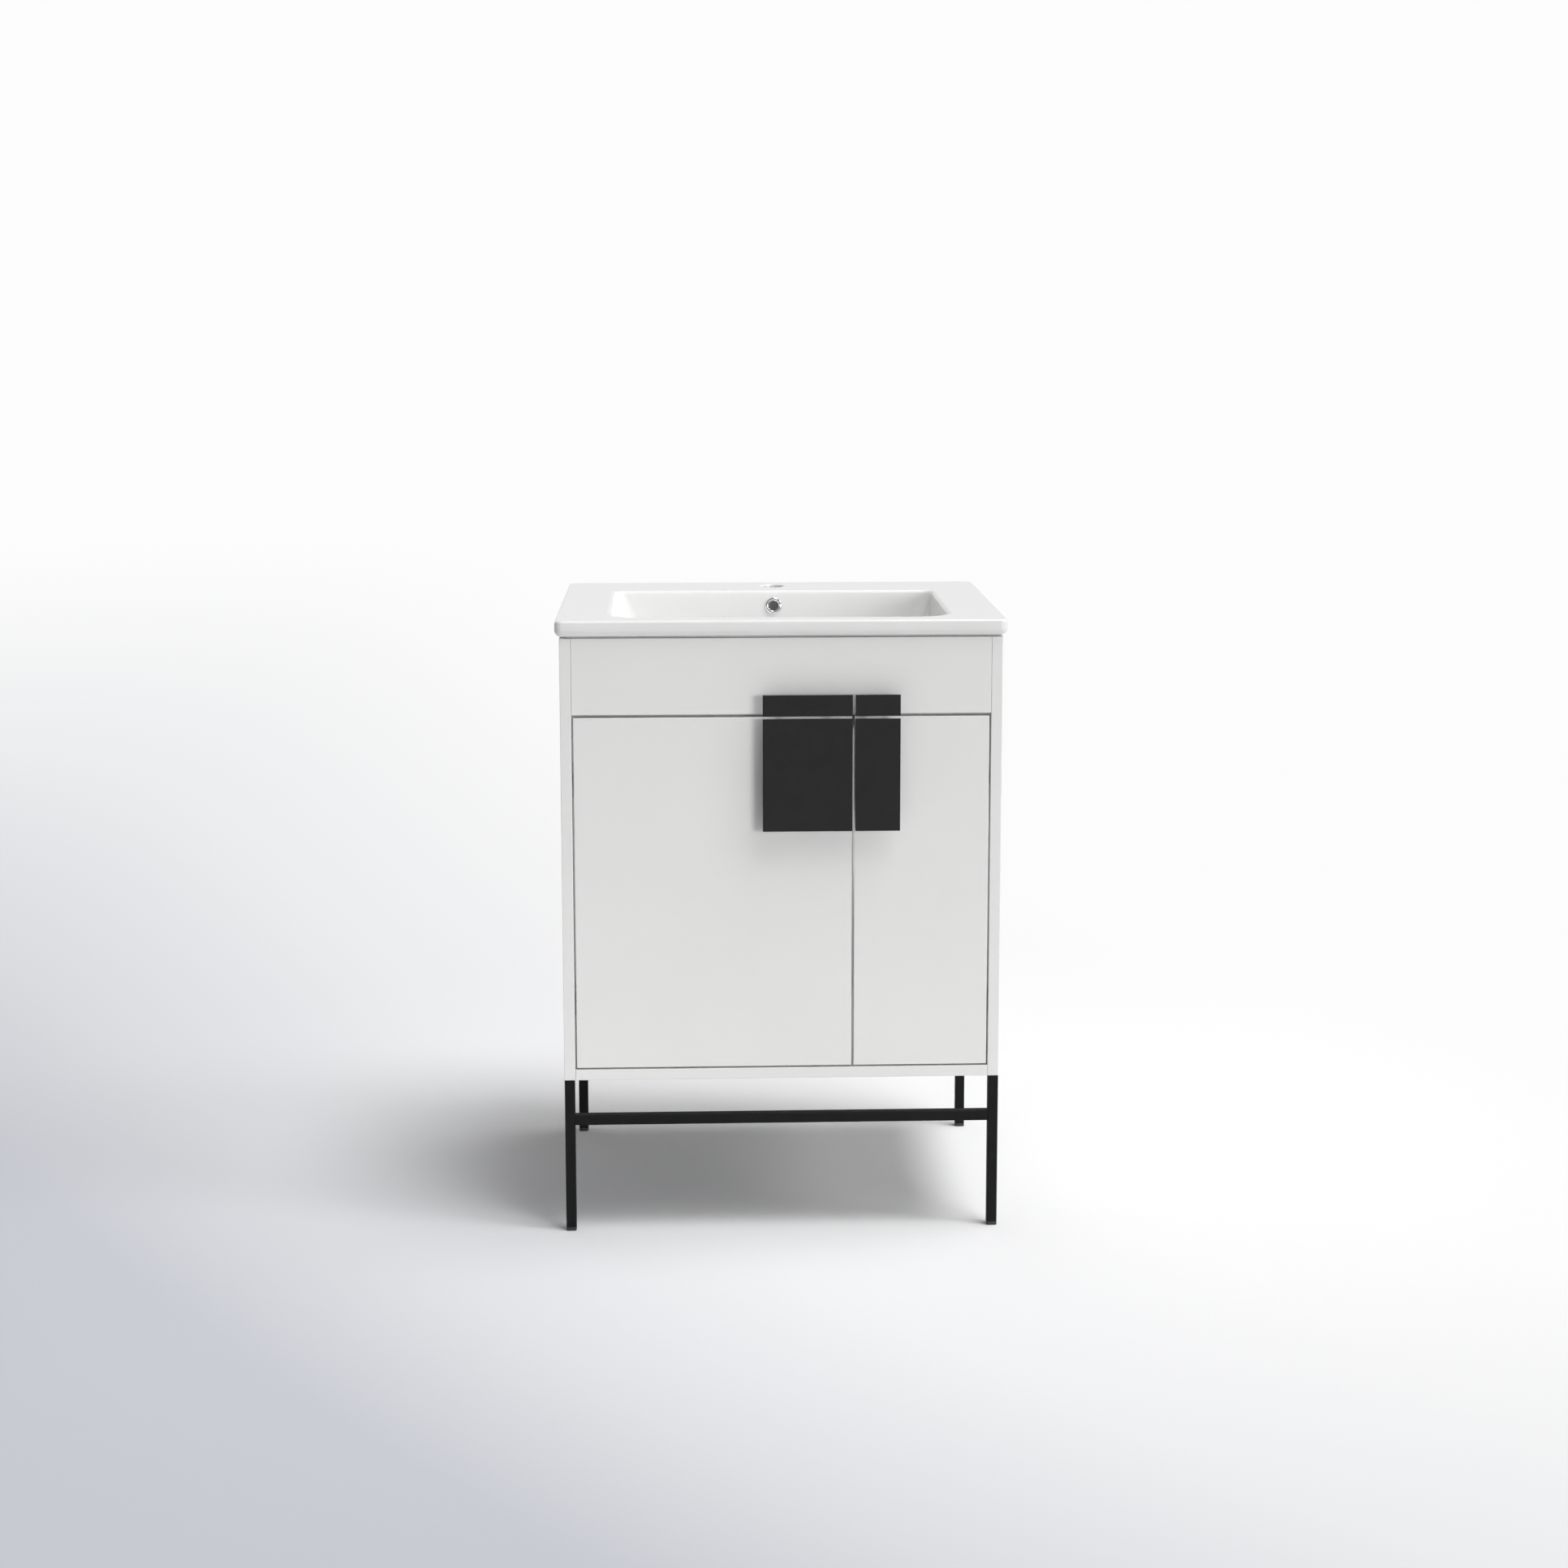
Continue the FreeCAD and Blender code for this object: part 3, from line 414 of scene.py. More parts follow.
def corner(turns):
    """The centre and radius of the corner reached after so many quarter turns, from the back right."""
    middle = (turns + 0.5) * QUARTER
    right = middle.math("COSINE").math("SIGN")
    rear = middle.math("SINE").math("SIGN").within(0, 1)
    radius = front_radius.toward(back_radius, rear)
    return right * (half - radius), (front + radius).toward(back - radius, rear), radius


on_side = ((into_quarter - ARC_STEPS) / SIDE_STEPS).within(0, 1)
turned_by = (quarter_turn + (into_quarter / ARC_STEPS).within(0, 1)) * QUARTER
x, y, radius = (a.toward(b, on_side) for a, b in zip(corner(quarter_turn), corner(quarter_turn + 1)))
spot = node_of(sink_tree, "ShaderNodeCombineXYZ", {
    "X": x + radius * turned_by.math("COSINE"), "Y": y + radius * turned_by.math("SINE"),
    "Z": sink_size["Top"] - depth})
move = node_of(sink_tree, "GeometryNodeSetPosition", {
    "Geometry": grid.outputs["Mesh"], "Position": spot.outputs["Vector"]})
weld = node_of(sink_tree, "GeometryNodeMergeByDistance", {
    "Geometry": move.outputs["Geometry"], "Distance": 0.01 * MM})
flip = node_of(sink_tree, "GeometryNodeFlipFaces", {"Mesh": weld.outputs["Geometry"]})
finished(sink_tree, flip.outputs["Mesh"], given["Finish"])
print("sink tree:", len(sink_tree.nodes), "nodes")

# %% [markdown]
# The levels run in one loop through the whole shell: up over the slab's edge, then down the basin's
# rounded rim and wall, round the foot of the wall, across the floor to the drain, down the drain's bore,
# back up outside, and out through the pocket under the slab to where they began. A narrow flat band runs
# beside each rounded edge, which keeps its smooth shading from bleeding into the flat deck.

# %% The sink's levels, each as depth, inset and form
def quarter(steps):
    """The angles of a quarter turn in equal steps, with both ends."""
    return [math.radians(90 * step / steps) for step in range(steps + 1)]


SLAB, BASIN, DRAIN = 0, 1, 2
LOW_EDGE_STEPS, TOP_EDGE_STEPS, RIM_STEPS, WALL_STEPS = 8, 6, 7, 10
FOOT_STEPS, FLOOR_STEPS, SKIN_STEPS = 12, 12, 8
DISH_CURVE = 1.6               # above 1, the floor falls faster near the drain
drain_depth, boss_depth = floor_depth + dish_fall, top - low.z
skin_foot, flange, band = foot_radius + wall, 27.5 * MM, 1 * MM
seat_inset = drain_radius - seat_radius
levels = [(edge_height - low_edge * (1 - math.cos(a)), low_edge * (1 - math.sin(a)), SLAB)
          for a in quarter(LOW_EDGE_STEPS)]
levels += [(top_edge * (1 - math.sin(a)), top_edge * (1 - math.cos(a)), SLAB)
           for a in quarter(TOP_EDGE_STEPS)]
levels += [(0, top_edge + band, SLAB), (0, -rim_radius - band, BASIN)]
levels += [(rim_radius * (1 - math.cos(a)), rim_radius * (math.sin(a) - 1), BASIN)
           for a in quarter(RIM_STEPS)]
levels += [(rim_radius + (wall_depth - rim_radius) * step / WALL_STEPS, 0, BASIN)
           for step in range(1, WALL_STEPS)]
levels += [(wall_depth + foot_radius * math.sin(a), foot_radius * (1 - math.cos(a)), BASIN)
           for a in quarter(FOOT_STEPS)]
for share in [step / FLOOR_STEPS for step in range(1, FLOOR_STEPS + 1)]:
    levels.append((floor_depth + dish_fall * share ** DISH_CURVE,
                   foot_radius + (seat_inset - foot_radius) * share, BASIN + share))
levels += [(drain_depth + seat_depth, 0, DRAIN), (boss_depth, 0, DRAIN),
           (boss_depth, -boss_wall, DRAIN), (drain_depth + wall, -boss_wall, DRAIN)]
levels += [(wall_depth + dish_fall + skin_foot * math.sin(a), skin_foot * (1 - math.cos(a)) - wall, BASIN)
           for a in reversed(quarter(SKIN_STEPS))]
levels += [(deck + (wall_depth - deck) * share, -wall, BASIN) for share in (0.5, 0)]
levels += [(deck, flange, SLAB), (edge_height, flange, SLAB), levels[0]]
print(len(levels), "levels")

# %% The shell
cloud = bpy.data.meshes.new("sink_levels")
cloud.from_pydata([(0, 0, top - level[0]) for level in levels], [], [])
for name, values in zip(("depth", "inset", "form"), zip(*levels)):
    cloud.attributes.new(name, "FLOAT", "POINT").data.foreach_set("value", values)
sink = run_tree(new_object("glazed_sink", cloud), sink_tree, {**sink_values, "Finish": glaze})


def facts_of(mesh):
    """How many edges are open, and the volume, which is negative when a mesh is inside out."""
    work = bmesh.new()
    work.from_mesh(mesh)
    facts = sum(1 for edge in work.edges if not edge.is_manifold), work.calc_volume(signed=True)
    work.free()
    return facts


print("sink shell:", len(sink.data.polygons), "faces, open edges and volume", facts_of(sink.data))


# %% [markdown]
# The rest of the sink is cut from the shell or joined to it by Boolean modifiers, as a potter cuts and
# sticks clay before it is fired. The cutters are plain solids from mesh code: a side view pushed out to a
# width, or an outline spun round an axis.

# %% Solids to cut and join with
def bridge(work, rings):
    """Quads between each ring of points and the next."""
    for ring, following in zip(rings, rings[1:]):
        for i, vert in enumerate(ring):
            j = (i + 1) % len(ring)
            work.faces.new((vert, ring[j], following[j], following[i]))


def mesh_from(work, name):
    """Face a closed shape outwards and turn it into a mesh."""
    bmesh.ops.recalc_face_normals(work, faces=work.faces)
    mesh = bpy.data.meshes.new(name)
    work.to_mesh(mesh)
    work.free()
    return mesh


def spin(work, outline, place, steps=48):
    """Spin (radius, height) points round the Z axis, close both ends, and carry it to its place."""
    turns = [2 * math.pi * step / steps for step in range(steps)]
    rings = [[work.verts.new(place @ Vector((radius * math.cos(a), radius * math.sin(a), height)))
              for a in turns] for radius, height in outline]
    bridge(work, rings)
    work.faces.new(rings[0])
    work.faces.new(rings[-1])


def spun_piece(name, outline, place):
    work = bmesh.new()
    spin(work, outline, place)
    return new_object(name, mesh_from(work, name))


def combine(piece, other, operation):
    """Join or cut the piece with another solid, which is then thrown away."""
    modifier = piece.modifiers.new(operation, "BOOLEAN")
    modifier.operation = operation
    modifier.solver = "EXACT"
    modifier.object = other
    settle(piece)
    bpy.data.objects.remove(other)


# %% [markdown]
# Behind the basin's back wall runs the overflow channel: water that rises to the hole in that wall drops
# down the channel and leaves through the drain. The channel is a bent slab that follows the back wall and
# the floor.

# %% The channel's line and slab
overflow_depth, overflow_radius = 22 * MM, 8 * MM
channel_gap, channel_skin, channel_width = 9 * MM, 6 * MM, 44 * MM
void_outer = wall + channel_gap
boss_radius = drain_radius + boss_wall
back_tilt = math.atan(back_draft)
mouth = Vector((0, basin_back - overflow_depth * back_draft, top - overflow_depth))
inward = Vector((0, math.cos(back_tilt), -math.sin(back_tilt)))


def back_line(grow, end_y):
    """Points down the middle of the back wall and along the floor, grow outside the basin."""
    radius = foot_radius + grow
    line = [(basin_back - overflow_depth / 2 * back_draft + grow, top - overflow_depth / 2)]
    for a in quarter(SKIN_STEPS):
        below = wall_depth + dish_fall + radius * math.sin(a)
        line.append((basin_back - below * back_draft - radius * (1 - math.cos(a)) + grow, top - below))
    return line + [(end_y, top - drain_depth - grow)]


def channel_slab(name, inner_grow, outer_grow, width, end_y):
    outline = back_line(inner_grow, end_y) + back_line(outer_grow, end_y)[::-1]
    work = bmesh.new()
    sides = [[work.verts.new((x, y, z)) for y, z in outline] for x in (-width / 2, width / 2)]
    bridge(work, sides)
    for side in sides:
        work.faces.new(side)
    return new_object(name, mesh_from(work, name))


def at(where, axis):
    """A placement that turns Z to an axis and moves to a point."""
    return Matrix.Translation(where) @ axis.to_track_quat("Z", "Y").to_matrix().to_4x4()


print("overflow hole at", [round(v, 4) for v in mouth], "in a wall that leans by",
      round(math.degrees(back_tilt), 2), "degrees")

# %% [markdown]
# The channel's wall is joined to the shell first, and only then its inside and both holes are cut, so that
# no wall closes them again. The faucet hole's rim is softened in two steps, so that it doesn't chip.

# %% The channel, the overflow hole and the faucet hole
INTO_BOSS = 0.9                # the channel's wall ends at this share of the boss's radius
rim_start, rim_step, rim_turn, rim_flare = 1.5 * MM, 0.25 * MM, 0.8 * MM, 2.15 * MM
channel_wall = channel_slab("channel_wall", wall / 2, void_outer + channel_skin,
                            channel_width + 2 * channel_skin, drain.y + boss_radius * INTO_BOSS)
combine(sink, channel_wall, "UNION")
channel_void = channel_slab("channel_void", wall, void_outer, channel_width, drain.y + drain_radius / 2)
combine(sink, channel_void, "DIFFERENCE")
overflow_outline = [(overflow_radius, -overflow_radius), (overflow_radius, wall + channel_gap / 2)]
combine(sink, spun_piece("overflow_cut", overflow_outline, at(mouth, inward)), "DIFFERENCE")
faucet_outline = [(faucet_radius, -edge_height), (faucet_radius, -rim_start),
                  (faucet_radius + rim_step, -rim_turn), (faucet_radius + rim_flare, rim_turn)]
faucet_place = Matrix.Translation((faucet.x, faucet.y, top))
combine(sink, spun_piece("faucet_cut", faucet_outline, faucet_place), "DIFFERENCE")
shade(sink.data)
stand_for(sink, "sink_top")
print("sink after its cuts:", len(sink.data.polygons), "faces, open edges and volume",
      facts_of(sink.data))


# %% [markdown]
# ## A bead that follows a path
# Two pieces are one section carried round a closed path: the silicone bead that the sink is bedded on,
# which follows a rectangle, and the chrome ring, whose path is a circle. A circle is a square whose
# corners are rounded as far as they go, so one Geometry Nodes tree makes both. Its inputs are the
# path's width, depth and corner radius and the section's width and height.

# %% The bead tree
PATH_CORNER_STEPS, SECTION_STEPS = 16, 20
bead_tree, given = tree_with("bead_on_path", [
    "Path width", "Path depth", "Path corner", "Bead width", "Bead height"])
path = node_of(bead_tree, "GeometryNodeCurvePrimitiveQuadrilateral", {
    "Width": given["Path width"], "Height": given["Path depth"]})
rounding = node_of(bead_tree, "GeometryNodeFilletCurve", {
    "Curve": path.outputs["Curve"], "Radius": given["Path corner"],
    "Count": PATH_CORNER_STEPS, "Limit Radius": True}, mode="POLY")
upright = node_of(bead_tree, "GeometryNodeSetCurveNormal", {"Curve": rounding.outputs["Curve"]},
                  mode="Z_UP")
profile = node_of(bead_tree, "GeometryNodeCurvePrimitiveCircle", {
    "Resolution": SECTION_STEPS, "Radius": 0.5})
section = node_of(bead_tree, "ShaderNodeCombineXYZ", {
    "X": given["Bead width"], "Y": given["Bead height"], "Z": 1.0})
squash = node_of(bead_tree, "GeometryNodeTransform", {
    "Geometry": profile.outputs["Curve"], "Scale": section.outputs["Vector"]})
sweep = node_of(bead_tree, "GeometryNodeCurveToMesh", {
    "Curve": upright.outputs["Curve"], "Profile Curve": squash.outputs["Geometry"]})
smooth = node_of(bead_tree, "GeometryNodeSetShadeSmooth", {"Geometry": sweep.outputs["Mesh"]})
finished(bead_tree, smooth.outputs["Geometry"], given["Finish"])


def bead(name, lengths, corner_radius, width, height, finish, place):
    """A bead made round the origin and then carried to its place in the mesh itself."""
    piece = run_tree(new_object(name, bpy.data.meshes.new(name)), bead_tree, {
        "Path width": lengths[0], "Path depth": lengths[1], "Path corner": corner_radius,
        "Bead width": width, "Bead height": height, "Finish": finish})
    piece.data.transform(place)
    print(name, [round(v, 4) for v in piece.dimensions], len(piece.data.polygons), "faces")
    return piece


# %% [markdown]
# The bead under the sink takes its length, width and thickness from the CAD bead's box. The ring needs
# two parts: a wide flat one, the trim that shows on the basin's wall, and a long thin one, the sleeve that
# goes into the hole. Both are made flat round the origin and then carried to the hole in the tilted wall.

# %% The bead under the sink and the overflow ring
low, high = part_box("sink_seal")
bead_width, bead_corner = 7 * MM, 4 * MM
seal = bead("bedding_bead", (high.x - low.x - bead_width, high.y - low.y - bead_width), bead_corner,
            bead_width, high.z - low.z, bead_silicone, Matrix.Translation((low + high) / 2))
stand_for(seal, "sink_seal")

ring_radius, ring_height, trim_lift = 12.5 * MM, 3 * MM, 0.6 * MM
sleeve_radius, sleeve_wall, sleeve_length = 7.9 * MM, 1 * MM, 8 * MM
ring_width = ring_radius - sleeve_radius + sleeve_wall


def ring_part(name, middle_radius, width, height, lift):
    return bead(name, (2 * middle_radius, 2 * middle_radius), middle_radius, width, height, chrome,
                at(mouth - inward * lift, -inward))


trim = ring_part("overflow_trim", ring_radius - ring_width / 2, ring_width,
                 2 * (ring_height - trim_lift), trim_lift)
sleeve = ring_part("overflow_sleeve", sleeve_radius - sleeve_wall / 2, sleeve_wall, sleeve_length,
                   -sleeve_length / 2)
trim.data = joined("overflow_trim_and_sleeve", (trim.data, sleeve.data))
bpy.data.objects.remove(sleeve)
stand_for(trim, "overflow_ring")


# %% [markdown]
# ## Screws by the dozen
# Small screws hold the hinges, the spacers and the leg plates. All are pan heads with a cross recess, and
# only their sizes differ, so one tree makes them: it builds one screw from primitives, sets it on every
# point of a cloud, and turns it the way that the point's `aim` attribute says. The points come from the
# CAD screws, which are found one by one as the loose islands of their node's mesh.

# %% The screw tree: a head with a cross recess
HEAD_STEPS, SHANK_STEPS = 20, 12
CROWN = 0.72                   # the head's radius on top, as a share of its radius below
RECESS_LENGTH, RECESS_DEPTH = 0.95, 1.2    # shares of the head's radius and of its height
screw_inputs = ["Head radius", "Head height", "Shank radius", "Shank length", "Recess width"]
screw_tree, given = tree_with("pan_head_screws", screw_inputs)
screw_size = {name: Value(screw_tree, given[name]) for name in screw_inputs}


def lifted(geometry, z):
    """Lift a geometry along Z by a value."""
    lift = node_of(screw_tree, "ShaderNodeCombineXYZ", {"Z": z})
    return node_of(screw_tree, "GeometryNodeTransform", {
        "Geometry": geometry, "Translation": lift.outputs["Vector"]}).outputs["Geometry"]


head = node_of(screw_tree, "GeometryNodeMeshCone", {
    "Vertices": HEAD_STEPS, "Radius Top": screw_size["Head radius"] * CROWN,
    "Radius Bottom": given["Head radius"], "Depth": given["Head height"]})
recess = node_of(screw_tree, "GeometryNodeMeshBoolean", {"Mesh 1": head.outputs["Mesh"]},
                 operation="DIFFERENCE", solver="EXACT")
recess_long = screw_size["Head radius"] * RECESS_LENGTH
recess_deep = screw_size["Head height"] * RECESS_DEPTH
for along, across in (("X", "Y"), ("Y", "X")):
    lengths = node_of(screw_tree, "ShaderNodeCombineXYZ", {
        along: recess_long, across: given["Recess width"], "Z": recess_deep})
    bar = node_of(screw_tree, "GeometryNodeMeshCube", {"Size": lengths.outputs["Vector"]})
    link(screw_tree, lifted(bar.outputs["Mesh"], screw_size["Head height"]), recess.inputs["Mesh 2"])

# %% The screw tree: add the shank and set a screw on every point
shank = node_of(screw_tree, "GeometryNodeMeshCylinder", {
    "Vertices": SHANK_STEPS, "Radius": given["Shank radius"],
    "Depth": given["Shank length"]})
one_screw = node_of(screw_tree, "GeometryNodeJoinGeometry", {"Geometry": recess.outputs["Mesh"]})
lowered = lifted(shank.outputs["Mesh"], screw_size["Shank length"] * -0.5)
link(screw_tree, lowered, one_screw.inputs["Geometry"])
aim = node_of(screw_tree, "GeometryNodeInputNamedAttribute", {"Name": "aim"}, data_type="FLOAT_VECTOR")
turn = node_of(screw_tree, "FunctionNodeAlignRotationToVector", {"Vector": aim.outputs["Attribute"]},
               axis="Z")
spread = node_of(screw_tree, "GeometryNodeInstanceOnPoints", {
    "Points": given["Geometry"], "Instance": one_screw.outputs["Geometry"],
    "Rotation": turn.outputs["Rotation"]})
finished(screw_tree, spread.outputs["Instances"], given["Finish"])
print("screw tree:", len(screw_tree.nodes), "nodes")


# %% [markdown]
# Where do the screws go? The frame holds each kind of screw as one mesh with many loose parts. Walking from
# point to point along the edges finds the parts one by one, and the box round each part tells where that
# screw sits, how long it is and which way it points.

# %% Find the CAD screws
CAD_WELD = 0.02 * MM           # points nearer than this are one point of the CAD mesh


def islands(node):
    """The low and high corners of each loose piece of a CAD node's mesh."""
    work = bmesh.new()
    work.from_mesh(bpy.data.objects[node].data)
    bmesh.ops.remove_doubles(work, verts=work.verts, dist=CAD_WELD)
    left = set(work.verts)
    boxes = []
    for seed in work.verts:
        if seed not in left:
            continue
        left.remove(seed)
        group, reached = [seed], [seed]
        while reached:
            vert = reached.pop()
            for edge in vert.link_edges:
                other = edge.other_vert(vert)
                if other in left:
                    left.remove(other)
                    group.append(other)
                    reached.append(other)
        points = [vert.co for vert in group]
        boxes.append((Vector(map(min, *points)), Vector(map(max, *points))))
    work.free()
    return boxes


def outwards(box):
    """The way from a screw's tip to its head, along its longest side: down, to the back, or inwards."""
    lengths = box[1] - box[0]
    if lengths.z == max(lengths):
        return Vector((0, 0, -1))
    if lengths.x == max(lengths):
        return Vector((-math.copysign(1, box[0].x), 0, 0))
    return Vector((0, 1, 0))


print("the CAD mesh of the wood screws has", len(islands("wood_screws")), "loose parts")

# %% [markdown]
# Each kind gets its own cloud of points, one under each head, and the tree's sizes for that kind, in
# millimetres: half-width and height of the head, and half-width of the shank. Small screws hold the
# hinges and the leg plates, and the ones that hold the black plates' spacers are a size up.

# %% Put the screws in their places
RECESS_WIDTH = 0.9 * MM
small, arm, post = (3.4, 1.8, 1.8), (3.4, 1.8, 2.0), (4.0, 2.2, 2.0)
screw_sizes = {"wood_screws": small, "left_hinge_cup_screws": small, "right_hinge_cup_screws": small,
               "hinge_arm_screws": arm, "fascia_post_screws": post, "left_door_post_screws": post,
               "right_door_post_screws": post}
for node, sizes in screw_sizes.items():
    head_radius, head_height, shank_radius = (size * MM for size in sizes)
    seats, aims = [], []
    for box in islands(node):
        way = outwards(box)
        center, half_size = (box[0] + box[1]) / 2, (box[1] - box[0]) / 2
        reach = abs(half_size.dot(way))
        seats.append(center + way * (reach - head_height))
        aims.append(way)
    cloud = bpy.data.meshes.new(node + "_seats")
    cloud.from_pydata(seats, [], [])
    aim_of_seat = cloud.attributes.new("aim", "FLOAT_VECTOR", "POINT")
    aim_of_seat.data.foreach_set("vector", [v for way in aims for v in way])
    screws = run_tree(new_object("pan_" + node, cloud), screw_tree, {
        "Head radius": head_radius, "Head height": head_height, "Shank radius": shank_radius,
        "Shank length": 2 * reach - head_height, "Recess width": RECESS_WIDTH, "Finish": zinc})
    stand_for(screws, node)
    print(screws.name, len(seats), "screws,", len(screws.data.polygons), "faces")


# %% [markdown]
# ## Foot caps and bumpers
# A foot cap is a small moulded block, and what makes it look moulded is the soft rounding of its edges. A
# box with its upright and lower edges bevelled in mesh code is enough. A cap has a foot under the tube and
# a plug inside it, and both are such boxes.

# %% Foot caps
UPRIGHT_STEPS, FOOT_EDGE_STEPS = 5, 4
SAME_HEIGHT = 0.001 * MM       # points nearer in height than this are level
SOFT_ANGLE = 40


def soft_box(name, low, high, corner_radius, foot_edge):
    """A box whose upright edges and bottom edges are rounded."""
    work = bmesh.new()
    bmesh.ops.create_cube(work, size=1.0)
    scale = Matrix.Diagonal((*(high - low), 1))
    bmesh.ops.transform(work, matrix=Matrix.Translation((low + high) / 2) @ scale, verts=work.verts)
    stand = [edge for edge in work.edges if abs(edge.verts[0].co.z - edge.verts[1].co.z) > SAME_HEIGHT]
    bmesh.ops.bevel(work, geom=stand, offset=corner_radius, segments=UPRIGHT_STEPS, profile=0.5,
                    affect="EDGES")
    lowest = [edge for edge in work.edges if all(v.co.z - low.z < SAME_HEIGHT for v in edge.verts)]
    bmesh.ops.bevel(work, geom=lowest, offset=foot_edge, segments=FOOT_EDGE_STEPS, profile=0.5,
                    affect="EDGES")
    mesh = bpy.data.meshes.new(name)
    work.to_mesh(mesh)
    work.free()
    return mesh


cap_height, tube_wall = 5 * MM, 1.6 * MM
cap_edges, plug_edges = (1.5 * MM, 1.2 * MM), (0.4 * MM, 0.2 * MM)
inset_by_wall = Vector((tube_wall, tube_wall, 0))
for node in [name for name in slot_of if name.endswith("_foot_cap")]:
    low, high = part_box(node)
    foot = soft_box("foot", low, Vector((high.x, high.y, low.z + cap_height)), *cap_edges)
    plug_low = low + inset_by_wall + Vector((0, 0, cap_height))
    plug = soft_box("plug", plug_low, high - inset_by_wall, *plug_edges)
    mesh = joined(node + "_moulded", (foot, plug))
    shade(mesh, SOFT_ANGLE)
    stand_for(new_object("moulded_" + node, mesh), node)
    print("moulded", node, len(mesh.polygons), "faces")


# %% [markdown]
# A bumper is a clear dome that sticks to the door's back and takes the knock when the door shuts. It is a
# turned shape, so its side view is spun round an axis, as the cutters for the sink were.

# %% Bumpers
DOME_STEPS, DOME_TURN_STEPS = 7, 28
FOOT_SHARE, TOP_SHARE, UPRIGHT_SHARE = 0.98, 0.45, 0.25    # of the radius, the radius and the height
for node in ("left_door_bumpers", "right_door_bumpers"):
    work = bmesh.new()
    for low, high in islands(node):
        radius, thick = (high.x - low.x) / 2, high.y - low.y
        outline = [(radius * FOOT_SHARE, 0)]
        for a in quarter(DOME_STEPS):
            outline.append((radius * (TOP_SHARE + (FOOT_SHARE - TOP_SHARE) * math.cos(a)),
                            thick * (UPRIGHT_SHARE + (1 - UPRIGHT_SHARE) * math.sin(a))))
        middle = Vector(((low.x + high.x) / 2, low.y, (low.z + high.z) / 2))
        spin(work, outline, at(middle, Vector((0, 1, 0))), DOME_TURN_STEPS)
    mesh = mesh_from(work, node + "_domes")
    shade(mesh, SOFT_ANGLE)
    stand_for(new_object("clear_" + node, mesh), node)
    print(node, len(mesh.polygons), "faces")


# %% [markdown]
# ## Hairlines between the boards
# The fascia and the bottom board stand between the side panels. No saw cuts to a perfect fit, and on the
# real cabinet a fine dark line shows where they meet, though the CAD boards touch. The finished boards are
# copies of the CAD ones, drawn in at each end by a fraction of a millimetre, which opens that line.

# %% Boards drawn in at their ends
HAIRLINE = 0.25 * MM
for node in ("front_fascia", "bottom_panel"):
    low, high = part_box(node)
    apart = high.x - low.x
    mesh = bpy.data.objects[node].data.copy()
    mesh.transform(Matrix.Diagonal((1 - 2 * HAIRLINE / apart, 1, 1, 1)))
    drawn_in = new_object("drawn_in_" + node, mesh)
    stand_for(drawn_in, node)
    print(drawn_in.name, "is", round(drawn_in.dimensions.x, 5), "wide between panels",
          round(apart, 5), "apart")


# %% [markdown]
# ## Floor and background
# The floor is a wide pale sheet that takes the cabinet's shadow. Its colour carries a painted shade: it goes
# from a cool grey at the front left to white at the far right, along a slanted line, and stands in for light
# that falls off towards the front left. The logarithm of the depth is what makes that line straight for a
# camera, which sees far things smaller. Far off on every side the sheet turns white.

# %% The floor's painted shade
WHITE = opaque((0.98, 0.98, 0.98))


def ramp(tree, value, stops):
    """A colour for every value: stops are (position, colour) from left to right."""
    node = node_of(tree, "ShaderNodeValToRGB", {"Fac": value})
    for position, _ in stops[1:-1]:
        node.color_ramp.elements.new(position)
    for element, (position, color) in zip(node.color_ramp.elements, stops):
        element.position = position
        element.color = opaque(color)
    return node.outputs["Color"]


NEAREST, LEFT_END, LEFT_BLEND = -1.5, -1.5, 1.2    # nearer or further left, the tone stays the same
STANDPOINT, UNIT, SLANT = 3.0, 2.0, 1.6            # depth is counted from here, in this unit
TONE_SPAN, WHITE_SPAN = (-1.0, 2.6), (2.0, 14.0)
# painted shade: these stops darken the floor towards the front left, standing in for light that falls off
# there
painted_shade_stops = [(0.167, (0.57, 0.585, 0.635)), (0.266, (0.705, 0.715, 0.742)),
              (0.407, (0.835, 0.84, 0.855)), (0.549, (0.90, 0.902, 0.91)),
              (0.69, (0.95, 0.95, 0.95)), (0.833, (0.975, 0.975, 0.975))]
paper = bpy.data.materials.new("studio_paper")
paper.use_nodes = True
tree = paper.node_tree
where = node_of(tree, "ShaderNodeTexCoord").outputs["Object"]
place = node_of(tree, "ShaderNodeSeparateXYZ", {"Vector": where})
across, along = (Value(tree, place.outputs[axis]) for axis in ("X", "Y"))
far_depth = ((along.math("MAXIMUM", NEAREST) + STANDPOINT) / UNIT).math("LOGARITHM", math.e)
slant = far_depth * SLANT + across.math("SMOOTH_MAX", LEFT_END, LEFT_BLEND)
painted_shade = ramp(tree, map_range(tree, slant, TONE_SPAN), painted_shade_stops)
away = node_of(tree, "ShaderNodeVectorMath", {0: where}, operation="LENGTH").outputs["Value"]
tone = mixed(tree, map_range(tree, away, WHITE_SPAN, kind="SMOOTHERSTEP"), painted_shade, WHITE)
print("floor tone:", len(painted_shade_stops), "stops,", len(tree.nodes), "nodes so far")

# %% [markdown]
# For the light that it throws back on the cabinet, the floor has a second, neutral colour, and that colour
# carries painted shade: dark under the cabinet, which deepens the shadow there, light in a ring round it,
# and darker again further off, which leaves the doors lighter low down. Where the sheet is only looked at,
# it glows by itself, fully from 1.7 m out, so that no horizon shows.

# %% The floor's light and glow
def seen_directly(tree):
    """One for rays that show the background: the camera's, mirrored ones and those through clear stuff."""
    rays = node_of(tree, "ShaderNodeLightPath").outputs
    kinds = [Value(tree, rays["Is " + kind + " Ray"]) for kind in ("Camera", "Glossy", "Transmission")]
    return kinds[0].math("MAXIMUM", kinds[1].math("MAXIMUM", kinds[2]))


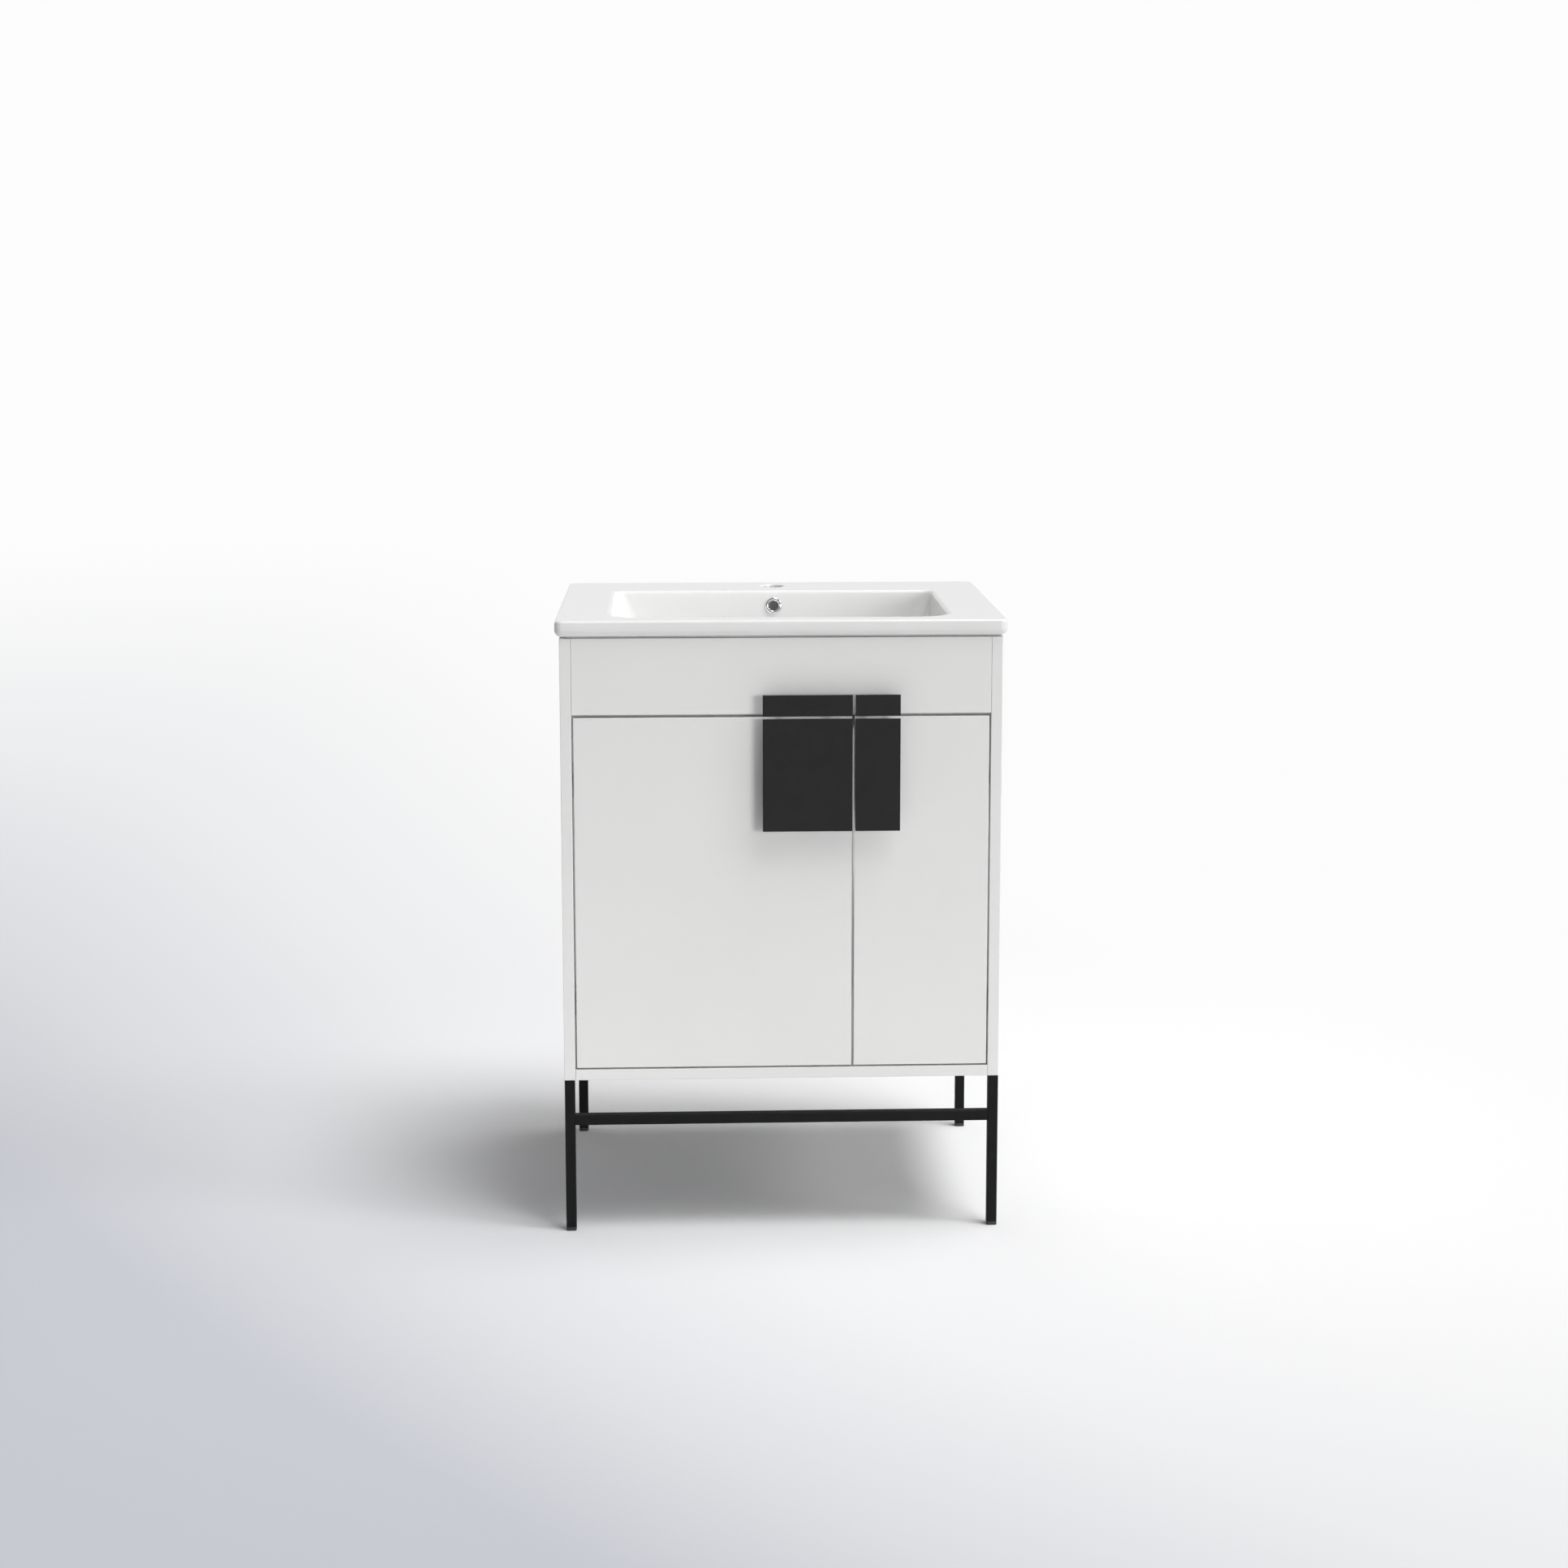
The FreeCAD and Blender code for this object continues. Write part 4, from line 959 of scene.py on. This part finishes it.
def either(tree, factor, first, second):
    """The first shader at factor 0, the second at factor 1."""
    feeds = {"Fac": factor, 1: first, 2: second}
    return node_of(tree, "ShaderNodeMixShader", feeds).outputs["Shader"]


BOUNCE_REACH, GLOW_SPAN = 2.2, (0.55, 1.7)
# painted shade in the bounced light: dark under the cabinet to deepen its shadow, light round it, darker
# further off
painted_bounce_shade_levels = [(0.10, 0.10), (0.22, 0.90), (0.30, 0.90), (1.0, 0.35)]
painted_bounce_shade = ramp(tree, map_range(tree, away, (0, BOUNCE_REACH)),
              [(position, (level,) * 3) for position, level in painted_bounce_shade_levels])
shader = tree.nodes["Principled BSDF"]
shader.inputs["Roughness"].default_value = 0.9
shader.inputs["Specular IOR Level"].default_value = 0.1
direct = seen_directly(tree)
link(tree, mixed(tree, direct, painted_bounce_shade, tone), shader.inputs["Base Color"])
fade = Value(tree, map_range(tree, away, GLOW_SPAN, kind="SMOOTHERSTEP")) * direct
glow = node_of(tree, "ShaderNodeEmission", {"Color": tone})
surface = either(tree, fade, shader.outputs["BSDF"], glow.outputs["Emission"])
link(tree, surface, tree.nodes["Material Output"].inputs["Surface"])
print("floor material:", len(tree.nodes), "nodes")

# %% The floor
HALF_WIDTH, FRONT_END, FAR_END = 40, -20, 90
mesh = bpy.data.meshes.new("studio_floor")
mesh.from_pydata([(-HALF_WIDTH, FRONT_END, 0), (HALF_WIDTH, FRONT_END, 0), (HALF_WIDTH, FAR_END, 0),
                  (-HALF_WIDTH, FAR_END, 0)], [], [(0, 1, 2, 3)])
mesh.materials.append(paper)
floor = new_object("studio_floor", mesh)
print("floor", [round(v, 1) for v in floor.dimensions])

# %% [markdown]
# The world plays three parts, and the kind of ray tells them apart. The camera sees it as white. What
# mirrors it, the glaze and the chrome, sees it dimmer in front, because a studio is dark behind the camera.
# As a source of light it is soft and comes mostly from overhead, as from a lit ceiling.

# %% The world
world = bpy.data.worlds.new("studio_world")
bpy.context.scene.world = world
world.use_nodes = True
tree = world.node_tree
where = node_of(tree, "ShaderNodeTexCoord").outputs["Generated"]
way = node_of(tree, "ShaderNodeSeparateXYZ", {"Vector": where}).outputs
dim_front = map_range(tree, way["Y"], span=(-0.7, 0.3), to=(0.35, 0.80), kind="SMOOTHSTEP")
overhead = map_range(tree, way["Z"], span=(0.0, 0.9), to=(0.0, 0.33), kind="SMOOTHSTEP")
backdrop = tree.nodes["Background"]
backdrop.inputs["Color"].default_value = WHITE
mirrored = node_of(tree, "ShaderNodeBackground", {"Color": WHITE, "Strength": dim_front})
soft = node_of(tree, "ShaderNodeBackground", {"Color": opaque((1.0, 0.995, 0.985)), "Strength": overhead})
around = either(tree, seen_directly(tree), soft.outputs["Background"], mirrored.outputs["Background"])
camera_ray = node_of(tree, "ShaderNodeLightPath").outputs["Is Camera Ray"]
surface = either(tree, camera_ray, around, backdrop.outputs["Background"])
link(tree, surface, tree.nodes["World Output"].inputs["Surface"])
print("world with", len(tree.nodes), "nodes")


# %% [markdown]
# ## Light and camera
# Five soft lamps, all far away so that they light the whole floor evenly. The key is a pair that stands high
# and a little to the right, one in front and one straight above: two big lamps side by side lay a softer
# shadow on the floor, to the cabinet's left. One from the right lights the left wall of the basin and
# leaves its right wall in shade. A low one from the front right lights the doors, and sets off the handle
# plates with a shadow on their left. A very low one from behind keeps the back and the left side from
# going dark, and hardly touches the floor. A sixth, small one hangs inside the cabinet: the gaps round the
# doors show the inside, and it keeps them grey, not black.

# %% Lamps
lamps = {"key_front": ((0.32, -0.30, 1.0), 24, 0.34), "key_top": ((0.28, 0.0, 1.0), 26, 0.32),
         "side_right": ((0.80, -0.25, 0.55), 18, 0.20), "front_right": ((0.55, -0.82, 0.10), 20, 0.385),
         "back_left": ((-0.62, 0.78, 0.03), 14, 0.42)}
for name, (toward, disc, level) in lamps.items():
    light = bpy.data.lights.new(name, "SUN")
    light.angle = math.radians(disc)
    light.energy = math.pi * level     # one lamp at level 1 would show white as white
    new_object(name, light).rotation_euler = Vector(toward).to_track_quat("Z", "Y").to_euler()

light = bpy.data.lights.new("inner_fill", "POINT")
light.shadow_soft_size = 0.08
light.energy = 0.4
new_object("inner_fill", light).location = (0, 0, 0.48)
print(len(bpy.data.lights), "lamps")

# %% [markdown]
# The camera stands about 3.5 m in front of the doors and 1.3 m above the floor, and looks down a little.
# Its lens is moved down a touch, as a view camera's is, so that the cabinet's uprights stay nearly
# parallel.

# %% Camera
LOOKS_DOWN, TURNED_RIGHT = 8.272, 0.0403       # in degrees and in radians
data = bpy.data.cameras.new("camera")
data.sensor_width, data.lens = 36.0, 60.57
data.shift_x, data.shift_y = -0.0075, -0.07
camera = new_object("camera", data)
camera.location = (-0.1227, -3.7325, 1.287)
camera.rotation_euler = (math.radians(90 - LOOKS_DOWN), 0, -TURNED_RIGHT)
bpy.context.scene.camera = camera
bpy.context.scene.view_settings.view_transform = "Standard"
print("camera at", tuple(round(v, 3) for v in camera.location))
